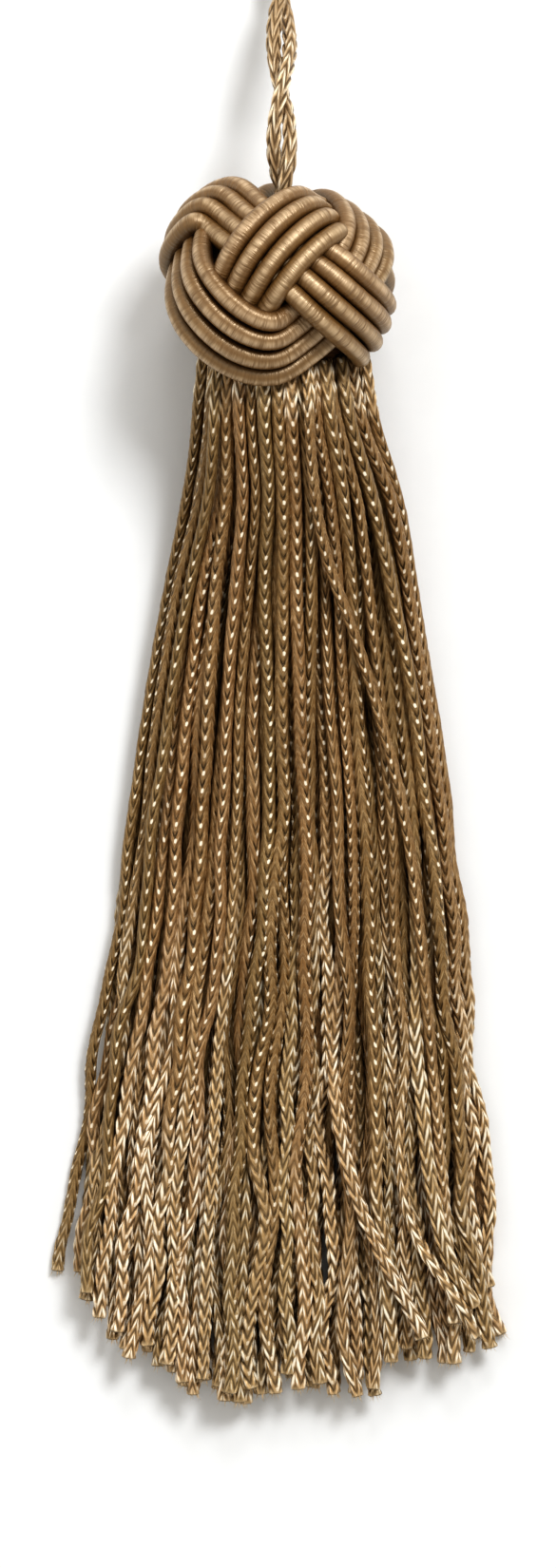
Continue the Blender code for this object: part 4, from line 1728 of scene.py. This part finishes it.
@dataclass
class Skirt:
    """Knitted strands rooted in a round heading under the knot."""

    lay: StrandLay = field(default_factory=StrandLay)
    tip: FrayedTip = field(default_factory=FrayedTip)
    width: float = 1.46
    half_side: float = 0.56
    count: int = 116
    gap: float = 0.17
    side_wander: float = 1.2
    settle_rounds: int = 260
    settle_passes: int = 2
    sink: float = 0.014
    hold_x: float = 0.04
    hold_z: float = 0.010
    yielding: float = 0.45
    part_rounds: int = 90
    part_step: float = 0.125
    golden_angle: float = np.pi * (3 - np.sqrt(5))
    heading_half_width: float = 6.4
    heading_half_height: float = 5.6
    heading_depth: float = 2.2
    heading_sides: int = 72
    heading_reach: float = 10.6
    root_inset: float = 0.93
    root_drop: float = 0.85
    root_reach: float = 3.2
    top_end_spread: float = 2.0
    under_end_short: float = 4.0
    under_end_least: float = 0.3
    upper_layer_z: float = 2.4
    line_step: float = 0.4
    smoothing: float = 2.6
    laid_join: float = 3.0
    laid_lift_from: float = 4.0
    laid_lift_to: float = 2.0
    aside_cost: float = 2.0
    short_cost: float = 10.0
    over_share: float = 0.94
    over_past_end: float = 0.5
    over_points: int = 7
    cover_from: float = -20.0
    cover_to: float = -104.0
    cover_samples: int = 40
    cover_aside: float = 0.62
    cover_above: float = 0.45
    plain_from: float = 0.93
    right_handed: float = 0.8
    order_y: float = -60.0

    def push_apart(self, places: Array) -> Array:
        """Move each pair of strands that lies too close away from each other.

        Args:
            places: The strands' places in a cross-section.

        Returns:
            Their new places.
        """
        apart = places[:, None, :] - places[None, :, :]
        distance = np.sqrt((apart ** 2).sum(axis=-1))
        np.fill_diagonal(distance, np.inf)
        lack = np.maximum(self.width - distance, 0.0)
        push = apart / distance[..., None].clip(1e-6) * lack[..., None]
        return places + self.yielding * push.sum(axis=1)

    def keep_inside(self, places: Array, station: Station, rims: tuple[int, int]) -> Array:
        """Keep the strands between the outline's sides, with one along each side.

        Args:
            places: The strands' places in a cross-section, which are changed.
            station: The outline.
            rims: The strands along its left and its right side.

        Returns:
            The places.
        """
        margin = self.width / 2
        left = np.full(len(places), station.left + margin + station.stray)
        right = np.full(len(places), station.right - margin)
        left[rims[0]] = right[rims[0]] = station.left + margin
        left[rims[1]] = station.right - margin
        places[:, 0] = places[:, 0].clip(left, right)
        places[:, 1] = np.maximum(places[:, 1], station.bottom + margin)
        return places

    def settle(self, places: Array, station: Station, rims: tuple[int, int]) -> Array:
        """Let a cross-section's strands sink and make room for each other.

        Args:
            places: Their places, across and up.
            station: The outline that they stay in.
            rims: The strands along its left and its right side.

        Returns:
            The settled places.
        """
        wanted = places.copy()
        for _ in range(self.settle_rounds):
            places[:, 1] -= self.sink
            places += (wanted - places) * (self.hold_x, self.hold_z)
            for _ in range(self.settle_passes):
                places = self.push_apart(places)
                places = self.keep_inside(places, station, rims)
        return places

    def neck_places(self) -> Array:
        """Spread the strands evenly over the round neck of the skirt.

        Returns:
            Their places, across and up.
        """
        station = STATIONS[0]
        index = np.arange(self.count)
        radius = np.sqrt((index + 0.5) / self.count)
        angle = index * self.golden_angle
        half_width = (station.right - station.left - self.width) / 2
        half_height = (station.height - self.width) / 2
        x = (station.left + station.right) / 2 + half_width * radius * np.cos(angle)
        z = station.bottom + station.height / 2 + half_height * radius * np.sin(angle)
        return np.stack([x, z], axis=1)

    def carry_on(self, places: Array, before: Station, station: Station, salt: int) -> Array:
        """Scale one cross-section to the next one's size and let strands drift.

        Args:
            places: The strands' places at the station before.
            before: That station.
            station: The next one.
            salt: The next one's number.

        Returns:
            The places at the next station, before they settle.
        """
        middle = (station.left + station.right) / 2
        middle_before = (before.left + before.right) / 2
        widen = (station.right - station.left) / (before.right - before.left)
        moved = places.copy()
        moved[:, 0] = middle + (places[:, 0] - middle_before) * widen
        moved[:, 1] = station.bottom + (places[:, 1] - before.bottom) * station.height / before.height
        moved[:, 0] += (spread_number(np.arange(self.count), salt) - 0.5) * self.side_wander
        return moved

    def nudge_span(self, sections: list[Array], index: int, part: float) -> None:
        """Part the strands that touch at one step between two stations.

        Args:
            sections: The places at every station, which are changed.
            index: The upper station's number.
            part: How far down from it to the next one, from 0 to 1.
        """
        need = 2 * self.half_side + self.gap
        places = sections[index] * (1 - part) + sections[index + 1] * part
        apart = places[:, None, :] - places[None, :, :]
        size = np.abs(apart)
        reach = size.max(axis=-1)
        np.fill_diagonal(reach, np.inf)
        lack = np.maximum(need - reach, 0.0) * self.yielding
        if not lack.any():
            return
        upward = size[..., 1] > size[..., 0]
        sign = np.where(apart >= 0, 1.0, -1.0)
        across = (np.where(upward, 0.0, lack) * sign[..., 0]).sum(axis=1)
        lift = (np.where(upward, lack, 0.0) * sign[..., 1]).sum(axis=1)
        nudge = np.stack([across, lift], axis=1) / ((1 - part) ** 2 + part ** 2)
        sections[index] += nudge * (1 - part)
        sections[index + 1] += nudge * part

    def sections(self) -> list[Array]:
        """Settle the strands at every station, then part them in between.

        Returns:
            The places of every strand, station by station.
        """
        places = self.neck_places()
        rims = int(places[:, 0].argmin()), int(places[:, 0].argmax())
        sections = [places]
        for salt in range(1, len(STATIONS)):
            station = STATIONS[salt]
            places = self.carry_on(sections[-1], STATIONS[salt - 1], station, salt)
            sections.append(self.settle(places, station, rims))
        for _ in range(self.part_rounds):
            for part in np.arange(0.0, 1.0, self.part_step):
                for index in range(len(sections) - 1):
                    self.nudge_span(sections, index, part)
            for section, station in zip(sections, STATIONS):
                section[:, 1] = np.maximum(section[:, 1], station.bottom + self.width / 2)
        return sections

    def end_of(self, index: int, x: float, z: float) -> float:
        """Return how far down the skirt a strand reaches.

        Args:
            index: The strand's number.
            x: Its place across, near its end.
            z: Its height there.

        Returns:
            The y of its end.
        """
        line = np.interp(x, [place.x for place in END_LINE], [place.y for place in END_LINE])
        shorter = self.top_end_spread * spread_number(index, Salt.SHORTER) ** 2
        if z < self.upper_layer_z:
            more = self.under_end_least + spread_number(index, Salt.UNDER_SHORTER)
            shorter += self.under_end_short * more
        return line + shorter

    def heading_middle(self, knot: HeadKnot) -> Array:
        """Return the middle of the heading under the knot."""
        reach = self.heading_reach * np.array([0.0, np.cos(knot.tilt), np.sin(knot.tilt)])
        return np.array([0.0, 0.0, knot.centre_z]) - reach

    def smooth_line(self, route: Array, end_y: float) -> Array:
        """Round the bends of a strand's route and cut it to length.

        Args:
            route: Its points from the root on, falling in y.
            end_y: Where it ends.

        Returns:
            Points of its centre line, close together.
        """
        y = np.arange(route[0, 1], end_y, -self.line_step)
        pad = int(3 * self.smoothing / self.line_step)
        longer = route[0, 1] + self.line_step * np.arange(pad, 0, -1)
        beyond = y[-1] - self.line_step * np.arange(1, pad + 1)
        every = np.concatenate([longer, y, beyond])
        weight = bell(pad, self.line_step, self.smoothing)
        columns = []
        for axis in (0, 2):
            ahead = read_at(route, every, axis)
            rise = (route[1, axis] - route[0, axis]) / (route[1, 1] - route[0, 1])
            ahead[:pad] = route[0, axis] + rise * (longer - route[0, 1])
            columns.append(np.convolve(ahead, weight, mode="valid"))
        return np.stack([columns[0], y, columns[1]], axis=1)

    def lines(self, knot: HeadKnot) -> list[Array]:
        """Lead every strand from its root through the stations to its cut end.

        Args:
            knot: The knot that the roots sit in.

        Returns:
            The strands' centre lines.
        """
        sections = self.sections()
        middle = self.heading_middle(knot)
        lines = []
        for index in range(self.count):
            x, z = sections[0][index]
            root_y = middle[1] - (z - middle[2]) * np.tan(knot.tilt)
            drop = (z - middle[2]) * self.root_drop
            inner = (x * self.root_inset, root_y + self.root_reach, middle[2] + drop)
            route = [inner, (x, root_y, z)]
            for section, station in zip(sections, STATIONS):
                route.append((section[index][0], station.y, section[index][1]))
            line = self.smooth_line(np.array(route), self.end_of(index, *sections[-2][index]))
            lines.append(self.lay.waved(line, index))
        return self.lay_over(lines)

    def lay_over(self, lines: list[Array]) -> list[Array]:
        """Lay some upper strands slantwise over the others.

        Args:
            lines: The strands' centre lines, which are changed.

        Returns:
            The lines.
        """
        for places in LAID_OVER:
            chosen = self.top_strand_at(lines, places[0])
            old = lines[chosen]
            leaves_y = places[0].y
            kept = old[old[:, 1] > leaves_y + self.laid_join]
            route = np.vstack([kept[:, :2], np.array(places)])
            route = np.column_stack([route, np.zeros(len(route))])
            line = self.smooth_line(route, places[-1].y)
            others = [other for number, other in enumerate(lines) if number != chosen]
            over = self.height_over(others, line)
            before = read_at(old, line[:, 1], 2)
            share = ease(leaves_y + self.laid_lift_from, leaves_y - self.laid_lift_to, line[:, 1])
            line[:, 2] = before * (1 - share) + over * share
            lines[chosen] = line
        return lines

    def top_strand_at(self, lines: list[Array], place: Place) -> int:
        """Find the uppermost strand near a place.

        Args:
            lines: The strands' centre lines.
            place: The place.

        Returns:
            The strand's number.
        """
        best, best_score = 0, -np.inf
        for number, line in enumerate(lines):
            aside = abs(read_at(line, place.y, 0) - place.x)
            score = read_at(line, place.y, 2) - self.aside_cost * aside
            score -= self.short_cost if line[-1, 1] > place.y else 0.0
            if score > best_score:
                best, best_score = number, score
        return best

    def height_over(self, lines: list[Array], line: Array) -> Array:
        """Return how high a strand lies when it rests on the others.

        Args:
            lines: The others' centre lines.
            line: The strand's own line, whose height isn't read.

        Returns:
            Its height at each point.
        """
        height = np.full(len(line), self.width / 2)
        for other in lines:
            x, z = (read_at(other, line[:, 1], axis) for axis in (0, 2))
            apart = np.abs(x - line[:, 0])
            there = (apart < self.width) & (line[:, 1] >= other[-1, 1] - self.over_past_end)
            rest = z + np.sqrt(np.maximum(self.width ** 2 - apart ** 2, 0.0)) * self.over_share
            height = np.where(there, np.maximum(height, rest), height)
        padded = np.pad(height, self.over_points, mode="edge")
        shifts = range(2 * self.over_points + 1)
        smooth = np.stack([padded[shift:shift + len(height)] for shift in shifts])
        return 0.5 * smooth.mean(axis=0) + 0.5 * smooth.max(axis=0)

    def covered_share(self, lines: list[Array]) -> Array:
        """Return how much of each strand lies under others, from 0 to 1.

        Args:
            lines: The strands' centre lines.

        Returns:
            The share of each.
        """
        y = np.linspace(self.cover_from, self.cover_to, self.cover_samples)
        x, z = (np.stack([read_at(line, y, axis) for line in lines]) for axis in (0, 2))
        aside = np.abs(x[:, None] - x[None, :]) < self.width * self.cover_aside
        above = z[None, :] - z[:, None] > self.width * self.cover_above
        return (aside & above).any(axis=1).mean(axis=1)

    def heading_band(self, knot: HeadKnot) -> Surface:
        """Build the oval wound heading that the strands are rooted in.

        Args:
            knot: The knot that the heading sits in.

        Returns:
            The heading's surface.
        """
        turn = 2 * np.pi * np.arange(self.heading_sides) / self.heading_sides
        middle = self.heading_middle(knot)
        pole = np.array([0.0, np.cos(knot.tilt), np.sin(knot.tilt)])
        up = np.array([0.0, -np.sin(knot.tilt), np.cos(knot.tilt)])
        points = []
        for row in HEADING_ROWS:
            ring = np.stack([self.heading_half_width * row.size * np.cos(turn),
                             self.heading_half_height * row.size * np.sin(turn)], axis=1)
            if row.size == 0.0:
                ring = ring[:1]
            shift = (row.along - 0.5) * self.heading_depth
            points.append(middle + ring[:, :1] * (1.0, 0.0, 0.0) + ring[:, 1:] * up + shift * pole)
        return stacked_rings(np.concatenate(points), self.heading_sides)

    def knit(self, line: Array, index: int, covered: bool) -> list[Surface]:
        """Knit one strand and fray its end.

        Args:
            line: Its centre line.
            index: Its number.
            covered: Whether others cover it nearly everywhere.

        Returns:
            The strand's and the filaments' surfaces.
        """
        chain = (Detail.PLAIN if covered else Detail.FULL).value
        yarn = float(spread_number(index, Salt.YARN))
        hand = 1 if spread_number(index, Salt.HAND) < self.right_handed else -1
        roll, opened = self.lay.roll(line, index), self.lay.opened(line, index)
        return [chain.strand(line, roll, opened, yarn, hand), self.tip.build(line, index)]

    def build(self, effects: SharedEffects, knot: HeadKnot) -> None:
        """Build and dress the strands, bundle by bundle, and the heading.

        Args:
            effects: The shared groups.
            knot: The knot that the heading sits in.
        """
        finish = CHAINETTE.dress(effects)
        lines = self.lines(knot)
        order = np.argsort([read_at(line, self.order_y, 0) for line in lines])
        covered = self.covered_share(lines) > self.plain_from
        for bundle in Bundle:
            low, high = (int(round(share * self.count)) for share in bundle.value)
            parts = []
            for index in order[low:high]:
                parts += self.knit(lines[index], int(index), covered[index])
            name = "skirt_strands_" + bundle.name.lower()
            piece = make_piece(name, join_surfaces(parts), finish)
            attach(piece, "root")
            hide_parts("skirt")
        binding = BindingFinish(name="heading_binding").dress(effects)
        heading = make_piece("skirt_heading", self.heading_band(knot), binding)
        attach(heading, "root")


# -------- hanging loop


class AxisPoint(NamedTuple):
    """A point of the line that the twisted legs follow, seen from the side."""

    y: float
    z: float


LOOP_AXIS = (
    AxisPoint(9.0, 14.3),
    AxisPoint(13.0, 14.9),
    AxisPoint(18.0, 14.0),
    AxisPoint(24.0, 10.6),
    AxisPoint(30.0, 6.4),
    AxisPoint(36.0, 3.3),
    AxisPoint(42.0, 2.0),
    AxisPoint(50.0, 1.75),
    AxisPoint(66.0, 1.75),
)
LOOP_CHAIN = ChainStitch(
    pitch=1.95,
    outer=0.93,
    open_swell=0.02,
    tight_depth=0.26,
    open_depth=0.36,
    pit_depth=0.10,
    uneven=0.04,
)


@dataclass
class HangingLoop:
    """One length of silk chain folded in two, its legs twisted together.

    The legs follow the solid's line. The bow at the top is rounder than the
    solid's, so that the cord bends to no less than two of its diameters.
    """

    diameter: float = 1.6
    twist_radius: float = 0.88
    twist_pitch: float = 21.6
    twist_phase: float = np.radians(10.0)
    twist_end_y: float = 62.0
    leg_start_y: float = 9.8
    hidden_reach: float = 3.2
    leg_step: float = 0.4
    eye_length: float = 13.0
    eye_half_width: float = 3.6
    eye_height: float = 1.05
    bow_points: int = 31
    lead_points: int = 27
    middle_x: float = 0.05
    slope_span: float = 0.5
    roll_rate: float = 0.13
    sway: float = 0.5
    sway_length: float = 9.0
    loose: float = 0.6
    loose_change: float = 0.4
    loose_length: float = 5.3
    yarn: float = 0.55

    def axis_height(self, y: Array) -> Array:
        """Return the height of the line that both legs follow.

        Args:
            y: Where along the loop.

        Returns:
            The height on a smooth curve through LOOP_AXIS.
        """
        known = np.array(LOOP_AXIS)
        known_y, known_z = known[:, 0], known[:, 1]
        slope = np.gradient(known_z, known_y)
        place = np.clip(np.searchsorted(known_y, y) - 1, 0, len(known_y) - 2)
        span = known_y[place + 1] - known_y[place]
        part = (y - known_y[place]) / span
        rise = known_z[place + 1] - known_z[place]
        return (
            known_z[place]
            + rise * (3 * part ** 2 - 2 * part ** 3)
            + span * slope[place] * (part - 2 * part ** 2 + part ** 3)
            + span * slope[place + 1] * (part ** 3 - part ** 2)
        )

    def leg(self, y: Array, phase: float) -> Array:
        """Return points of one leg, held square to the line that both follow.

        Args:
            y: Where along the loop.
            phase: The leg's own angle in the twist.

        Returns:
            The points.
        """
        angle = 2 * np.pi * (y - self.leg_start_y) / self.twist_pitch + self.twist_phase + phase
        rise = self.axis_height(y + self.slope_span) - self.axis_height(y - self.slope_span)
        steep = np.arctan2(rise, 2 * self.slope_span)
        lift = self.twist_radius * np.cos(angle)
        x = self.middle_x + self.twist_radius * np.sin(angle)
        return np.stack([x, y - lift * np.sin(steep), self.axis_height(y) + lift * np.cos(steep)], axis=-1)

    def lead_on(self, end: Array, bow_end: Array) -> Array:
        """Return points from a leg's end to the round bow at the loop's top.

        Args:
            end: The leg's last two points.
            bow_end: Where the bow begins, running straight along y.

        Returns:
            The points between the two, without them.
        """
        part = np.linspace(0.0, 1.0, self.lead_points)[1:-1, None]
        reach = bow_end[1] - end[1, 1]
        leaving = unit(end[1] - end[0]) * reach
        arriving = np.array([0.0, reach, 0.0])
        return (
            (1 + 2 * part) * (1 - part) ** 2 * end[1]
            + part * (1 - part) ** 2 * leaving
            + part ** 2 * (3 - 2 * part) * bow_end
            - part ** 2 * (1 - part) * arriving
        )

    def eye(self) -> Array:
        """Lead the cord round the open end of the loop.

        Returns:
            The points from one leg's end to the other's, without them.
        """
        last_y = np.array([self.twist_end_y - self.leg_step / 2, self.twist_end_y])
        first, last = self.leg(last_y, 0.0), self.leg(last_y, np.pi)
        side = np.sign(first[1, 0] - last[1, 0])
        turn = np.linspace(0, np.pi, self.bow_points)
        bow = np.stack([side * np.cos(turn), np.sin(turn), 0 * turn], axis=-1) * self.eye_half_width
        bow += (self.middle_x, self.twist_end_y + self.eye_length - self.eye_half_width, self.eye_height)
        return np.vstack([self.lead_on(first, bow[0]), bow, self.lead_on(last, bow[-1])[::-1]])

    def route(self) -> Array:
        """Lead the cord out of the knot, round the bow and back in.

        Returns:
            Points of its whole centre line.
        """
        start_y = self.leg_start_y - self.hidden_reach
        steps = int(round((self.twist_end_y - start_y) / self.leg_step))
        along = np.linspace(start_y, self.twist_end_y, steps + 1)
        return np.vstack([self.leg(along, 0.0), self.eye(), self.leg(along[::-1], np.pi)])

    def build(self, effects: SharedEffects) -> None:
        """Args:
            effects: The shared groups.
        """
        line = self.route()
        far = along_line(line)
        roll = far * self.roll_rate + self.sway * np.sin(far / self.sway_length)
        opened = self.loose + self.loose_change * np.sin(far / self.loose_length)
        surface = LOOP_CHAIN.strand(line, roll, opened, self.yarn)
        cord = make_piece("hanging_loop_cord", surface, LOOP_SILK.dress(effects))
        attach(cord, "root")
        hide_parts("hanging_loop")


# -------- studio


class Lamp(NamedTuple):
    """A soft square light: its power in watts, the length of its side and its place."""

    name: str
    power: float
    size: float
    place: tuple[float, float, float]


LAMPS = (
    Lamp("key_light", 4.5, 280.0, (340.0, 440.0, 830.0)),
    Lamp("top_light", 1.1, 240.0, (40.0, 700.0, 640.0)),
    Lamp("fill_light", 0.65, 700.0, (-520.0, 160.0, 620.0)),
)


@dataclass
class Studio:
    """The camera straight above, a white card and soft light."""

    view_x: float = -0.35
    view_y: float = -52.5
    view_z: float = 8.0
    view_height: float = 165.0
    camera_z: float = 700.0
    clip: Span = (50.0, 20000.0)
    sensor: float = 36.0
    card_size: float = 6000.0
    world_colour: Colour = (1.0, 0.96, 0.90)
    world_strength: float = 0.43
    light_aim: tuple[float, float, float] = (0.0, -40.0, 5.0)
    look: str = "High Contrast"
    exposure: float = 0.0

    def place_camera(self) -> None:
        """Put the camera above the object and look straight down."""
        data = bpy.data.cameras.new("camera")
        data.sensor_width = self.sensor
        data.lens = self.sensor * (self.camera_z - self.view_z) / self.view_height
        data.clip_start, data.clip_end = (distance * MM for distance in self.clip)
        camera = bpy.data.objects.new("camera", data)
        camera.location = (self.view_x * MM, self.view_y * MM, self.camera_z * MM)
        bpy.context.scene.collection.objects.link(camera)
        bpy.context.scene.camera = camera

    def place_light(self, lamp: Lamp) -> None:
        """Put a soft square light at its place and aim it at the skirt's middle.

        Args:
            lamp: The light's name, power, size and place.
        """
        data = bpy.data.lights.new(lamp.name, "AREA")
        data.energy = lamp.power
        data.size = lamp.size * MM
        light = bpy.data.objects.new(lamp.name, data)
        light.location = Vector(lamp.place) * MM
        aim = Vector(self.light_aim) * MM - light.location
        light.rotation_euler = aim.to_track_quat("-Z", "Y").to_euler()
        bpy.context.scene.collection.objects.link(light)

    def place_card(self) -> None:
        """Lay the white card that the tassel lies on."""
        half = self.card_size / 2
        points = np.array([(-half, -half, 0), (half, -half, 0), (half, half, 0), (-half, half, 0)], float)
        surface = Surface(points, np.array([(0, 1, 2), (0, 2, 3)]))
        card = make_piece("white_card", surface, TableFinish().dress())

    def build(self) -> None:
        """Place the card, the lights and the white surroundings."""
        self.place_card()
        for lamp in LAMPS:
            self.place_light(lamp)
        world = bpy.data.worlds.new("surroundings")
        world.use_nodes = True
        background = world.node_tree.nodes["Background"]
        background.inputs["Color"].default_value = opaque(self.world_colour)
        background.inputs["Strength"].default_value = self.world_strength
        scene = bpy.context.scene
        scene.world = world
        scene.view_settings.view_transform = "Standard"
        scene.view_settings.look = self.look
        scene.view_settings.exposure = self.exposure


def main() -> None:
    """Place the camera, build the loop, the knot and the skirt, then the card, the lights and the
    surroundings.
    """
    logging.basicConfig(level=logging.INFO, format="%(name)s %(message)s")
    studio = Studio()
    studio.place_camera()
    effects = SharedEffects()
    HangingLoop().build(effects)
    knot = HeadKnot()
    knot.build(effects)
    Skirt().build(effects, knot)
    studio.build()


if __name__ == "__main__":
    main()
